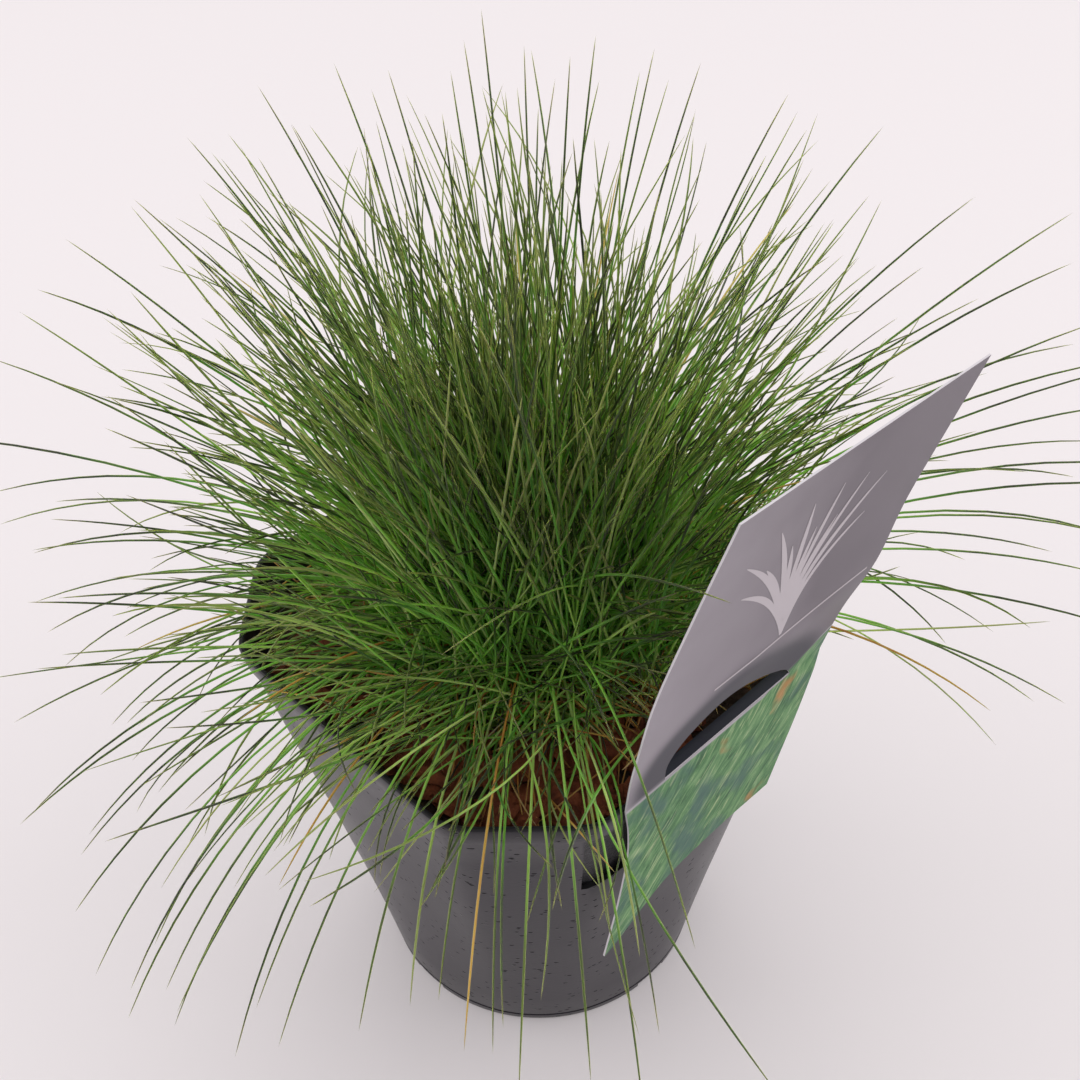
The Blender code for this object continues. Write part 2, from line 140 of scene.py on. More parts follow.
def potMaterial():
    # moulded polypropylene: a satin dark grey with moisture beads and a little dust. The beads sit in cells
    # of 3.3 mm and are about 1.3 mm across, coarser than real ones, because finer ones would not show
    made, tree, shader = newMaterial("moulded_grey_polypropylene", "36333A", 0.3, {"IOR": 1.45})
    place = addNode(tree, "TexCoord").outputs["Object"]
    cloud = addNode(tree, "TexNoise", values={"Scale": 45.0, "Detail": 3.0}, links={0: place}).outputs[0]
    flat = addNode(tree, "Mapping", values={"Scale": (1.0, 1.0, 1.8)}, links={0: place}).outputs[0]
    cells = addNode(tree, "TexVoronoi", values={"Scale": 300.0}, links={0: flat}).outputs[0]
    bead = addNode(tree, "MapRange", values={1: 0.15, 2: 0.24, 3: 1.0, 4: 0.0}, links={0: cells}).outputs[0]
    rare = addNode(tree, "TexNoise", values={"Scale": 160.0, "Detail": 2.0}, links={0: place}).outputs[0]
    where = addNode(tree, "MapRange", values={1: 0.46, 2: 0.54, 3: 0.0, 4: 1.0}, links={0: rare}).outputs[0]
    spot = addNode(tree, "Math", {"operation": "MULTIPLY"}, links={0: bead, 1: where}).outputs[0]
    greys = {"stops": [(0.3, "232127"), (0.7, "2E2B32")]}
    plain = addNode(tree, "ValToRGB", greys, links={0: cloud}).outputs[0]
    colour = addNode(tree, "Mix", asColour, {7: "1B1A1F"}, {0: spot, 6: plain}).outputs[2]
    tree.links.new(colour, shader.inputs["Base Color"])
    grain = addNode(tree, "TexNoise", values={"Scale": 900.0, "Detail": 2.0}, links={0: place}).outputs[0]
    height = addNode(tree, "Math", {"operation": "MULTIPLY_ADD"}, {1: 0.12}, {0: grain, 2: spot}).outputs[0]
    bump = addNode(tree, "Bump", values={"Strength": 0.5, "Distance": 0.0003}, links={"Height": height})
    tree.links.new(bump.outputs[0], shader.inputs["Normal"])
    # the beads throw no light towards the eye
    gloss = addNode(tree, "MapRange", values={3: 0.32, 4: 0.04}, links={0: spot})
    tree.links.new(gloss.outputs[0], shader.inputs["Specular IOR Level"])
    rough = addNode(tree, "MapRange", values={3: 0.24, 4: 0.4}, links={0: cloud})
    tree.links.new(rough.outputs[0], shader.inputs["Roughness"])
    return made


def earthMaterial(name, stops, scale, bumpScale, bumpDepth, roughness):
    # peat or bark: dull patches of a few tones, 3 to 6 mm across, and a relief of 1.4 to 2.4 mm that
    # scatters the light
    made, tree, shader = newMaterial(name, stops[0][1], roughness, {"Specular IOR Level": 0.3})
    place = addNode(tree, "TexCoord").outputs["Object"]
    broad = {"Scale": scale, "Detail": 5.0, "Roughness": 0.62}
    patches = addNode(tree, "TexNoise", values=broad, links={0: place}).outputs[0]
    colour = addNode(tree, "ValToRGB", {"stops": stops}, links={0: patches})
    tree.links.new(colour.outputs[0], shader.inputs["Base Color"])
    fine = {"Scale": bumpScale, "Detail": 6.0, "Roughness": 0.7}
    relief = addNode(tree, "TexNoise", values=fine, links={0: place}).outputs[0]
    bump = addNode(tree, "Bump", values={"Strength": 0.9, "Distance": bumpDepth}, links={"Height": relief})
    tree.links.new(bump.outputs[0], shader.inputs["Normal"])
    return made


pottingPeat = earthMaterial(
    "moist_peat", [(0.3, "2A201B"), (0.55, "46362B"), (0.8, "6B5443")], 260.0, 700.0, 0.0008, 0.9)
pineBark = earthMaterial(
    "composted_pine_bark", [(0.25, "3E2219"), (0.45, "773E29"), (0.65, "A05C3C"), (0.85, "C4936B")],
    170.0, 420.0, 0.0012, 0.85)
potPlastic = potMaterial()
# painted shade: the same plastic in the pocket, near black for the shade that lies in the recess under the
# label, with broken highlights
pocketShadePlastic = earthMaterial(
    "pocket_plastic_painted_shade", [(0.3, "1E1E20"), (0.6, "2F2F32"), (0.8, "4A4A4E")], 300.0, 600.0, 0.0005, 0.3)


# Pot: the same rings as the solid, from the pad under the base round the wall and down to the floor inside

pot = {
    "height": 129.0, "rimAcross": 130.0, "chamferLeg": 24.8, "sharpness": 48, "baseRadius": 47.3,
    "sides": 144, "wall": 1.0, "collarHeight": 6.6, "collarStep": 0.8, "floorTop": 4.2, "recess": 3.0,
    "padRadius": 14.0, "footWidth": 4.3, "drainHoles": 8, "drainRadius": 4.0, "drainCircle": 29.0,
    "footGap": (11.0, 2.2),
    "foot": [(0.25, 0.3), (0.8, 0), (3.0, 0), (3.3, 0.3), (3.8, 0.1), (4.4, 0)],    # height and inset
    "pocketTurn": (-79.0, -65.5), "pocketSpan": (94.0, 121.4), "pocketDepth": 1.6, "pocketMargin": 0.3,
    "pocketEase": (2.5, 1.2), "pocketRings": [122.8, 121.6, 108, 94, 92.4, 91],
}


def rimRadius(azimuth):
    chamfer = (pot["rimAcross"] - pot["chamferLeg"]) / math.sqrt(2)
    total = 0
    for side in range(8):
        distance = pot["rimAcross"] / 2 if side % 2 else chamfer
        facing = np.cos(azimuth - math.radians(-90 + 45 * side)) / distance
        total = total + np.maximum(facing, 0) ** pot["sharpness"]
    return total ** (-1 / pot["sharpness"])


def wallRadius(azimuth, height, inset=0.0):
    share = height / pot["height"]
    return pot["baseRadius"] * (1 - share) + (rimRadius(azimuth) - pot["collarStep"]) * share - inset


def selectOnly(item):
    bpy.ops.object.select_all(action="DESELECT")
    item.select_set(True)
    bpy.context.view_layer.objects.active = item


def named(name, *materials):
    item = bpy.context.object
    item.name = name
    item.data.name = name
    for finish in materials:
        item.data.materials.append(finish)
    return item


def closeShape():
    # all faces point outwards, and edit mode ends
    bpy.ops.mesh.select_all(action="SELECT")
    bpy.ops.mesh.normals_make_consistent(inside=False)
    bpy.ops.object.mode_set(mode="OBJECT")


def cutWith(item, cutter):
    selectOnly(item)
    change = item.modifiers.new("cut", "BOOLEAN")
    change.operation = "DIFFERENCE"
    change.solver = "EXACT"
    change.object = cutter
    bpy.ops.object.modifier_apply(modifier=change.name)
    bpy.data.objects.remove(cutter)


def handOver(item, nodes):
    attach(item, "root")
    if nodes:
        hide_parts(*nodes)


def extrudeRings(rings):
    # the open end is extruded again and again, and each new ring is put in its place
    bpy.ops.object.mode_set(mode="EDIT")
    for number, ring in enumerate(rings):
        if number:
            bpy.ops.mesh.extrude_region_move(TRANSFORM_OT_translate={"value": (0, 0, mm)})
        shaped = bmesh.from_edit_mesh(bpy.context.object.data)
        chosen = sorted((v for v in shaped.verts if v.select), key=lambda v: v.index)
        for vert, point in zip(chosen, ring):
            vert.co = Vector(point) * mm
        shaped.normal_update()
        bmesh.update_edit_mesh(bpy.context.object.data)


def potRing(azimuths, height, inset):
    radius = wallRadius(azimuths, height, inset)
    return [(r * math.cos(a), r * math.sin(a), height) for r, a in zip(radius, azimuths)]


def roundRing(azimuths, radius, height):
    return [(radius * math.cos(a), radius * math.sin(a), height) for a in azimuths]


def pocketBlock(turn, span, insets, steps=6):
    # a curved block that follows the wall, from one inset to another
    bpy.ops.mesh.primitive_circle_add(vertices=2 * steps + 2, radius=mm, fill_type="NGON")
    turns = [math.radians(turn[0] + (turn[1] - turn[0]) * i / steps) for i in range(steps + 1)]
    rings = []
    for height in span:
        ring = [(wallRadius(a, height, insets[0]), a) for a in turns]
        ring += [(wallRadius(a, height, insets[1]), a) for a in reversed(turns)]
        rings.append([(r * math.cos(a), r * math.sin(a), height) for r, a in ring])
    extrudeRings(rings)
    closeShape()
    return named("pocket_block")


def darkenPocket(shell):
    # painted shade: the recess's faces get a near-black material of their own, for the shade that lies in it
    shell.data.materials.append(pocketShadePlastic)
    margin = pot["pocketMargin"]
    for face in shell.data.polygons:
        spot = face.center / mm
        turn = math.degrees(math.atan2(spot.y, spot.x))
        within = pot["pocketTurn"][0] - margin < turn < pot["pocketTurn"][1] + margin
        level = pot["pocketSpan"][0] - margin < spot.z < pot["pocketSpan"][1] + margin
        depth = wallRadius(math.radians(turn), spot.z) - math.hypot(spot.x, spot.y)
        if within and level and margin < depth < pot["pocketDepth"] + margin:
            face.material_index = 1


def footRings(azimuths):
    # from the pad under the base over the recess, round the foot and past its groove
    inFoot = pot["baseRadius"] - pot["footWidth"]
    under = [(pot["padRadius"], 0), (pot["padRadius"], pot["recess"]), (inFoot, pot["recess"]), (inFoot, 0.3),
             (inFoot + 0.3, 0), (pot["baseRadius"] - 0.9, 0)]
    rings = [roundRing(azimuths, radius, height) for radius, height in under]
    return rings + [potRing(azimuths, height, inset) for height, inset in pot["foot"]]


def wallRings(azimuths):
    # up the wall, out over the collar's step and round the rim
    top, step, wall = pot["height"], pot["collarStep"], pot["wall"]
    collar = top - pot["collarHeight"]
    rows = [(height, 0) for height in np.linspace(16, collar - 0.4, 9)]
    rows += [(collar - 0.1, -0.12), (collar + 0.2, -step + 0.1), (collar + 0.7, -step), (top - 1.0, -step)]
    rows += [(top - 0.35, 0.2 - step), (top, 0.6 - step), (top, wall - 0.5), (top - 0.3, wall - 0.1)]
    return [potRing(azimuths, height, inset) for height, inset in rows]


def innerRings(azimuths):
    # down inside to the floor, with the wall pushed in behind the pocket
    wall, floor = pot["wall"], pot["floorTop"]
    (start, end), (low, high) = pot["pocketTurn"], pot["pocketSpan"]
    turn = np.degrees(azimuths) - 360 * (azimuths > math.pi)
    beside = np.clip(1 - np.maximum(start - turn, turn - end) / pot["pocketEase"][0], 0, 1)
    rings = []
    for height in [*np.linspace(pot["height"] - 1.2, 124.5, 3), *pot["pocketRings"], *np.linspace(80, 12, 5)]:
        level = min(max(1 - max(low - height, height - high) / pot["pocketEase"][1], 0), 1)
        rings.append(potRing(azimuths, height, wall + pot["pocketDepth"] * beside * level))
    return rings + [potRing(azimuths, floor + 1.2, wall), potRing(azimuths, floor, wall + 1.2)]


def makePot():
    azimuths = np.linspace(0, 2 * math.pi, pot["sides"], endpoint=False)
    rings = footRings(azimuths) + wallRings(azimuths) + innerRings(azimuths)
    bpy.ops.mesh.primitive_circle_add(vertices=pot["sides"], radius=mm, fill_type="NGON")
    extrudeRings(rings)
    closeShape()
    shell = named("pot_shell", potPlastic)
    for i in range(pot["drainHoles"]):
        turn = 2 * math.pi * (i + 0.5) / pot["drainHoles"]
        place = (pot["drainCircle"] * math.cos(turn) * mm, pot["drainCircle"] * math.sin(turn) * mm, 0)
        bpy.ops.mesh.primitive_cylinder_add(vertices=24, radius=pot["drainRadius"] * mm, depth=20 * mm,
                                            location=place)
        cutWith(shell, named("drain_hole"))
    gap = (pot["footWidth"] * 4 * mm, pot["footGap"][0] * mm, pot["footGap"][1] * 2 * mm)
    for i in range(4):
        turn = math.radians(45 + 90 * i)
        place = (pot["baseRadius"] * math.cos(turn) * mm, pot["baseRadius"] * math.sin(turn) * mm, 0)
        bpy.ops.mesh.primitive_cube_add(size=1, location=place, rotation=(0, 0, turn), scale=gap)
        cutWith(shell, named("foot_gap"))
    cutWith(shell, pocketBlock(pot["pocketTurn"], pot["pocketSpan"], (-3, pot["pocketDepth"])))
    selectOnly(shell)
    darkenPocket(shell)
    bpy.ops.object.shade_smooth_by_angle(angle=math.radians(32))
    handOver(shell, ["pot"])
    print("pot modelled")


makePot()


# Soil: a crumbled top inside the wall, with loose crumbs on it

soil = {
    "edgeDepth": 13.0, "mound": 4.0, "crown": (3.0, 6.0), "crownRadius": 24.0, "cells": 150, "depth": 40.0,
    "crumbs": 1500, "crumbSize": (0.7, 2.6),
}


def soilLevel(x, y):
    reach = math.hypot(x - soil["crown"][0], y - soil["crown"][1])
    mound = soil["mound"] * 0.5 * (1 + math.cos(math.pi * min(max(reach - soil["crownRadius"], 0) / 38, 1)))
    return pot["height"] - soil["edgeDepth"] + mound


def soilTop(x, y):
    lumps = 1.6 * noise.fractal(Vector((x * 0.11, y * 0.11, 3.1)), 0.8, 2.2, 5)
    return soilLevel(x, y) + lumps - 0.6


def insideWall(u, v, height, inset):
    # a square's point carried into the pot's outline at a height, clear of the pocket's back
    turn = math.atan2(v, u)
    start, end = (math.radians(edge) for edge in pot["pocketTurn"])
    inset = inset + (pot["pocketDepth"] + 0.2) * min(max(1 - max(start - turn, turn - end) / 0.07, 0), 1)
    reach = max(abs(u), abs(v)) * wallRadius(turn, height, inset)
    return reach * math.cos(turn), reach * math.sin(turn)


def makeSoil():
    inset = pot["wall"] + 0.3
    level = pot["height"] - soil["edgeDepth"]
    bpy.ops.mesh.primitive_grid_add(x_subdivisions=soil["cells"], y_subdivisions=soil["cells"], size=2)
    bed = named("peat_bed", pottingPeat)
    bpy.ops.object.mode_set(mode="EDIT")
    shaped = bmesh.from_edit_mesh(bed.data)
    for vert in shaped.verts:
        x, y = insideWall(vert.co.x, vert.co.y, level, inset)
        vert.co = Vector((x, y, soilTop(x, y))) * mm
    bmesh.update_edit_mesh(bed.data)
    bpy.ops.mesh.select_all(action="SELECT")
    bpy.ops.mesh.extrude_region_move(TRANSFORM_OT_translate={"value": (0, 0, -soil["depth"] * mm)})
    bpy.ops.transform.resize(value=(0.9, 0.9, 0.0))
    closeShape()
    bpy.ops.object.shade_smooth()
    handOver(bed, ["potting_soil"])


def joinedCopies(name, template, places, finish):
    # one mesh from many copies of a small template: each place is a matrix
    coords = np.array([v.co for v in template.data.vertices], float)
    faces = [list(f.vertices) for f in template.data.polygons]
    rows = np.concatenate([coords @ np.array(m.to_3x3()).T + np.array(m.translation) for m in places])
    allFaces = [[i + n * len(coords) for i in face] for n in range(len(places)) for face in faces]
    mesh = bpy.data.meshes.new(name)
    mesh.from_pydata(rows.tolist(), [], allFaces)
    mesh.materials.append(finish)
    item = bpy.data.objects.new(name, mesh)
    bpy.context.scene.collection.objects.link(item)
    bpy.data.objects.remove(template)
    return item


def lumpTemplate(detail, roughness, seed):
    # a small irregular lump about one unit across
    bpy.ops.mesh.primitive_ico_sphere_add(subdivisions=detail, radius=0.5)
    lump = named("lump_template")
    for vert in lump.data.vertices:
        vert.co *= 1 + roughness * noise.noise(vert.co * 3.1 + Vector((seed, 0, 0)))
    return lump


def makeCrumbs():
    rng = random.Random(5)
    places = []
    for i in range(soil["crumbs"]):
        x, y = insideWall(rng.uniform(-1, 1), rng.uniform(-1, 1), pot["height"] - soil["edgeDepth"], 3)
        size = rng.uniform(*soil["crumbSize"]) * rng.uniform(0.5, 1) * mm
        angle = rng.uniform(0, 6.28)
        turn = Matrix.Rotation(angle, 4, Vector((rng.gauss(0, 1), rng.gauss(0, 1), 1)).normalized())
        stretch = Matrix.Diagonal((size * rng.uniform(0.8, 1.7), size, size * rng.uniform(0.6, 1), 1))
        places.append(Matrix.Translation(Vector((x, y, soilTop(x, y))) * mm) @ turn @ stretch)
    crumbs = joinedCopies("peat_crumbs", lumpTemplate(1, 0.8, 2.0), places, pottingPeat)
    handOver(crumbs, [])


makeSoil()
makeCrumbs()
print("soil laid")


# Bark: each chip of the frame roughened, with smaller bits between them

bark = {"chips": 12, "relief": 0.5, "bits": 260, "bitSize": (4.0, 12.0), "ring": (0.5, 0.97),
        "frontShare": 0.55}


def makeChips():
    for number in range(1, bark["chips"] + 1):
        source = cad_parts[f"bark_chip_{number:02d}"]
        chip = source.copy()
        chip.data = source.data.copy()
        bpy.context.scene.collection.objects.link(chip)
        chip.parent = None
        for key in list(chip.keys()):
            del chip[key]
        chip.name = f"rough_bark_{number:02d}"
        chip.data.materials.clear()
        chip.data.materials.append(pineBark)
        selectOnly(chip)
        bpy.ops.object.mode_set(mode="EDIT")
        bpy.ops.mesh.select_all(action="SELECT")
        bpy.ops.mesh.remove_doubles(threshold=0.01 * mm)
        bpy.ops.mesh.tris_convert_to_quads()
        bpy.ops.mesh.subdivide(number_cuts=4, smoothness=0.6)
        bpy.ops.object.mode_set(mode="OBJECT")
        centre = sum((v.co for v in chip.data.vertices), Vector()) / len(chip.data.vertices)
        for vert in chip.data.vertices:
            away = (vert.co - centre).normalized()
            ridges = noise.fractal(vert.co * 260 + Vector((number, 0, 0)), 0.7, 2.1, 4)
            vert.co += away * ridges * bark["relief"] * mm
        bpy.ops.object.shade_smooth_by_angle(angle=math.radians(40))
        handOver(chip, [source.name])


def makeBits():
    rng = random.Random(11)
    places = []
    for i in range(bark["bits"]):
        front = rng.uniform(0, 1) < bark["frontShare"]
        turn = math.radians(rng.uniform(-150, -35) if front else rng.uniform(0, 360))
        size = rng.uniform(*bark["bitSize"]) * mm
        wall = wallRadius(turn, soilLevel(99, 0), pot["wall"] + 1.2) - size / mm / 2
        reach = wall * rng.uniform(*bark["ring"]) ** 0.7
        x, y = reach * math.cos(turn), reach * math.sin(turn)
        tilt = Matrix.Rotation(rng.gauss(0, 0.35), 4, "X") @ Matrix.Rotation(rng.gauss(0, 0.35), 4, "Y")
        stretch = Matrix.Diagonal((size, size * rng.uniform(0.45, 0.75), size * rng.uniform(0.25, 0.5), 1))
        lift = soilTop(x, y) + rng.uniform(0.3, 2.2)
        turn = Matrix.Rotation(rng.uniform(0, 6.28), 4, "Z")
        places.append(Matrix.Translation(Vector((x, y, lift)) * mm) @ turn @ tilt @ stretch)
    bits = joinedCopies("bark_bits", lumpTemplate(2, 0.9, 7.0), places, pineBark)
    handOver(bits, [])


makeChips()
makeBits()
print("bark laid")


# Label: a bent card with a D-shaped window, whose tongue folds over the rim

label = {
    "thickness": 0.5, "standoff": 0.6, "leanAbove": 10.0, "leanBelow": 4.0, "gap": 0.3, "tongueLean": 9.5,
    "bulge": (2.0, 30.0, 12.0), "innerShade": 0.2, "band": (0.86, 7.5, 4.5),
    "motif": {"foot": (8, 33), "lift": 0.06, "reach": (33, 43), "turns": (-36, 46), "blades": 13,
              "width": 2.1},
    "leftUp": [(-33, 0), (-34.5, 19), (-34, 39), (-28, 64), (-20.6, 89.3)],
    "rightUp": [(38, 0), (44, 27), (56, 55), (66, 82.2)],
    "leftDown": [(-33, 0), (-31, -18), (-32.5, -38), (-36, -60)],
    "rightDown": [(38, 0), (33.5, -20), (29.5, -34), (26, -46)],
    "bottom": [(-36, -60), (-16, -48), (10, -45.5), (26, -46)],
    "window": [(-20, 0), (-20.8, 6.5), (-18.6, 11.6), (-14, 15.6), (-6.5, 19), (0.5, 18.2),
               (8.5, 14.2), (16.5, 9.2), (22.5, 4.6), (26, 0)],
}
rimOut = Vector((1, -1, 0)).normalized()
rimAlong = Vector((1, 1, 0)).normalized()
foldOut = pot["rimAcross"] / 2 + label["standoff"]
foldHeight = pot["height"] + label["gap"] + label["thickness"] / 2


def throughPoints(points, share):
    # a smooth curve through the points, share 0 to 1 from end to end
    place = min(max(share, 0), 1) * (len(points) - 1)
    i = min(int(place), len(points) - 2)
    t = place - i
    before, here, after, beyond = (np.array(points[min(max(k, 0), len(points) - 1)], float)
                                   for k in range(i - 1, i + 3))
    square = 2 * before - 5 * here + 4 * after - beyond
    cube = 3 * here - before - 3 * after + beyond
    return 0.5 * (2 * here + (after - before) * t + square * t * t + cube * t ** 3)


def cardPlace(along, up):
    # above the fold the card leans out and bulges a little, below it follows the wall
    lean = math.radians(label["leanAbove"] if up > 0 else label["leanBelow"])
    if up > 0:
        amount, middle, spread = label["bulge"]
        amount = amount * min(max((along + 45) / 45, 0.25), 1) * math.exp(-((up - middle) / spread) ** 2)
        out = foldOut + up * math.sin(lean) + amount * min(up / 8, 1)
    else:
        out = foldOut - max(-up - pot["collarHeight"], 0) * math.sin(lean)
    return rimOut * out + rimAlong * along + Vector((0, 0, foldHeight + up * math.cos(lean)))


def cardSheet(across, up):
    # across and up run from -1 to 1 over the card, with the fold at up 0
    left, right = (label["leftUp"], label["rightUp"]) if up > 0 else (label["leftDown"], label["rightDown"])
    start, end = throughPoints(left, abs(up)), throughPoints(right, abs(up))
    share = (across + 1) / 2
    spot = start * (1 - share) + end * share
    if up < 0:
        straight = np.array(label["bottom"][0]) * (1 - share) + np.array(label["bottom"][-1]) * share
        spot = spot + (throughPoints(label["bottom"], share) - straight) * abs(up) ** 2 * np.array([0, 1])
    return spot


def faceOut(item):
    # the printed side looks away from the pot
    if item.data.polygons[0].normal.dot(rimOut) < 0:
        item.data.flip_normals()


def printedBlade(number):
    # one blade of the printed tuft: a curved ribbon on the card's face
    motif = label["motif"]
    share = number / (motif["blades"] - 1)
    turn = math.radians(motif["turns"][0] + (motif["turns"][1] - motif["turns"][0]) * share)
    length = motif["reach"][number % 2]
    bpy.ops.mesh.primitive_grid_add(x_subdivisions=1, y_subdivisions=14, size=2)
    blade = named(f"motif_blade_{number:02d}", cardInk)
    for vert in blade.data.vertices:
        along = (vert.co.y + 1) / 2
        lean = turn * (0.35 + 0.65 * along)
        half = motif["width"] / 2 * (0.25 + 1.1 * along) * (1 - along ** 3) + 0.12
        across = motif["foot"][0] + length * along * math.sin(lean) + vert.co.x * half * math.cos(lean)
        up = motif["foot"][1] + length * along * math.cos(lean) - vert.co.x * half * math.sin(lean)
        vert.co = (cardPlace(across, up) + rimOut * (label["thickness"] / 2 + motif["lift"])) * mm
    return blade


def printMotif():
    # a plain tuft of grass and its ground line, in the off-white ink of the card
    blades = [printedBlade(number) for number in range(label["motif"]["blades"])]
    bpy.ops.mesh.primitive_grid_add(x_subdivisions=24, y_subdivisions=1, size=2)
    line = named("motif_ground_line", cardInk)
    foot = label["motif"]["foot"]
    proud = rimOut * (label["thickness"] / 2 + label["motif"]["lift"])
    for vert in line.data.vertices:
        across = foot[0] + 6 + 27 * vert.co.x
        up = foot[1] - 2.5 + 0.35 * vert.co.y + 1.2 * math.cos(vert.co.x * 1.4)
        vert.co = (cardPlace(across, up) + proud) * mm
    selectOnly(line)
    for blade in blades:
        blade.select_set(True)
    bpy.ops.object.join()
    motif = named("label_motif")
    faceOut(motif)
    handOver(motif, [])


def cardMaterial(name, pale):
    # printed plastic card, nearly matt so that it stays grey against the lamps: grey above, a loose green
    # grass print below, and a light line between. On its map 1 is 100 mm: the broad streaks are about
    # 3 x 14 mm, the thin ribs 1 x 9 mm and the patches 17 mm
    made, tree, shader = newMaterial(name, "837E84", 0.5, {"Specular IOR Level": 0.14})
    spot = addNode(tree, "UVMap", {"uv_map": "cardMap"}).outputs[0]
    parts = addNode(tree, "SeparateXYZ", links={0: spot})
    across, up = parts.outputs[0], parts.outputs[1]
    # broad leaves slant up to the right, with thin pale ribs
    slant = {"Rotation": (0, 0, math.radians(38))}
    turned = addNode(tree, "Mapping", values=slant, links={0: spot}).outputs[0]
    place = addNode(tree, "Mapping", values={"Scale": (26.0, 5.0, 1.0)}, links={0: turned}).outputs[0]
    broad = {"Scale": 1.4, "Detail": 6.0, "Roughness": 0.7, "Distortion": 1.2}
    streaks = addNode(tree, "TexNoise", values=broad, links={0: place}).outputs[0]
    greens = [(0.3, "2F4C3A"), (0.42, "4A764E"), (0.55, "699764"), (0.68, "95B385"), (0.85, "C8D2AE")]
    grass = addNode(tree, "ValToRGB", {"stops": greens}, links={0: streaks}).outputs[0]
    steeper = {"Scale": (60.0, 7.0, 1.0), "Rotation": (0, 0, math.radians(-24))}
    thin = addNode(tree, "Mapping", values=steeper, links={0: turned}).outputs[0]
    narrow = {"Scale": 1.6, "Detail": 3.0, "Distortion": 0.6}
    ribs = addNode(tree, "TexNoise", values=narrow, links={0: thin}).outputs[0]
    rib = addNode(tree, "MapRange", values={1: 0.58, 2: 0.68, 3: 0.0, 4: 0.6}, links={0: ribs}).outputs[0]
    grass = addNode(tree, "Mix", asColour, {7: "C4D2A4"}, {0: rib, 6: grass}).outputs[2]
    patches = addNode(tree, "TexNoise", values={"Scale": 6.0, "Detail": 3.0}, links={0: spot}).outputs[0]
    warm = addNode(tree, "MapRange", values={1: 0.63, 2: 0.72, 3: 0.0, 4: 0.75}, links={0: patches})
    grass = addNode(tree, "Mix", asColour, {7: "BE8550"}, {0: warm.outputs[0], 6: grass}).outputs[2]
    dull = addNode(tree, "MapRange", values={1: 0.36, 2: 0.5, 3: 0.8, 4: 0.0}, links={0: patches}).outputs[0]
    grass = addNode(tree, "Mix", asColour, {7: "4E6E68"}, {0: dull, 6: grass}).outputs[2]
    # the print starts just under the fold and climbs beside the window
    climb = addNode(tree, "MapRange", values={1: 0.16, 2: 0.45, 3: 0.006, 4: -0.1}, links={0: across})
    slope = addNode(tree, "Math", {"operation": "ADD"}, links={0: climb.outputs[0], 1: up}).outputs[0]
    side = addNode(tree, "MapRange", values={1: -0.34, 2: 0.6}, links={0: across}).outputs[0]
    cloud = addNode(tree, "TexNoise", values={"Scale": 6.0}, links={0: spot}).outputs[0]
    drift = addNode(tree, "Math", {"operation": "MULTIPLY_ADD"}, {1: 0.3}, {0: cloud, 2: side}).outputs[0]
    greys = [(0.12, "A39DA5"), (0.45, "938D94"), (0.75, "7C767D"), (1.0, "827C83")]
    grey = addNode(tree, "ValToRGB", {"stops": greys}, links={0: drift}).outputs[0]
    line = addNode(tree, "MapRange", values={1: 0.006, 2: 0.011, 3: 0.8, 4: 0.0}, links={0: slope}).outputs[0]
    grey = addNode(tree, "Mix", asColour, {7: "C4C0C6"}, {0: line, 6: grey}).outputs[2]
    # painted shade: a soft dark band follows the upper edge of the window, where the card bows out
    band = addNode(tree, "UVMap", {"uv_map": "cardTone"}).outputs[0]
    dark = addNode(tree, "SeparateXYZ", links={0: band}).outputs[0]
    grey = addNode(tree, "Mix", asColour, {7: "3A3B44"}, {0: dark, 6: grey}).outputs[2]
    below = addNode(tree, "MapRange", values={1: -0.005, 2: 0.002, 3: 1.0, 4: 0.0}, links={0: slope})
    front = addNode(tree, "Mix", asColour, links={0: below.outputs[0], 6: grey, 7: grass}).outputs[2]
    printed = addNode(tree, "Mix", asColour, {0: pale, 7: "B4B1B6"}, {6: front}).outputs[2]
    tree.links.new(printed, shader.inputs["Base Color"])
    return made


cardFront = cardMaterial("printed_label_card", 0.0)
cardBack = cardMaterial("label_card_reverse", 0.9)                 # pale, the print just shows through
cardEdge = newMaterial("label_cut_edge", "D6D3D8", 0.5)[0]         # bare plastic, a light line round the card
cardShade = newMaterial("label_flap_in_shade", "222331", 0.6)[0]   # the flap in deep shade looks blue-black
cardInk = newMaterial("off_white_print", "C3BCC2", 0.45)[0]        # screen ink, a bit shinier than the card


def bandShade(across, up):
    # painted shade, darkest along the upper edge of the window, and gone a few millimetres above it
    edge = np.array([throughPoints(label["window"], i / 40) for i in range(41)])
    reach = np.hypot(edge[:, 0] - across, edge[:, 1] - up).min()
    strength, even, fade = label["band"]
    return strength * math.exp(-(max(reach - even, 0) / fade) ** 2) * min(max((up + 1) / 3, 0), 1)


def cardMap(item, spotOf):
    # one map holds the spot on the card, the other the strength of the painted shade above the window
    item.data.uv_layers.new(name="cardMap")
    item.data.uv_layers.new(name="cardTone")
    spots = [spotOf(vert.co) for vert in item.data.vertices]
    shades = [bandShade(*spot) for spot in spots]
    for loop in item.data.loops:
        across, up = spots[loop.vertex_index]
        item.data.uv_layers["cardMap"].data[loop.index].uv = (across * 0.01, up * 0.01)
        item.data.uv_layers["cardTone"].data[loop.index].uv = (shades[loop.vertex_index], 0)


def thicken(item):
    selectOnly(item)
    wall = item.modifiers.new("thickness", "SOLIDIFY")
    wall.thickness = label["thickness"] * mm
    wall.offset = 0.0
    wall.use_even_offset = True
    wall.material_offset = 1
    wall.material_offset_rim = 2
    bpy.ops.object.modifier_apply(modifier=wall.name)


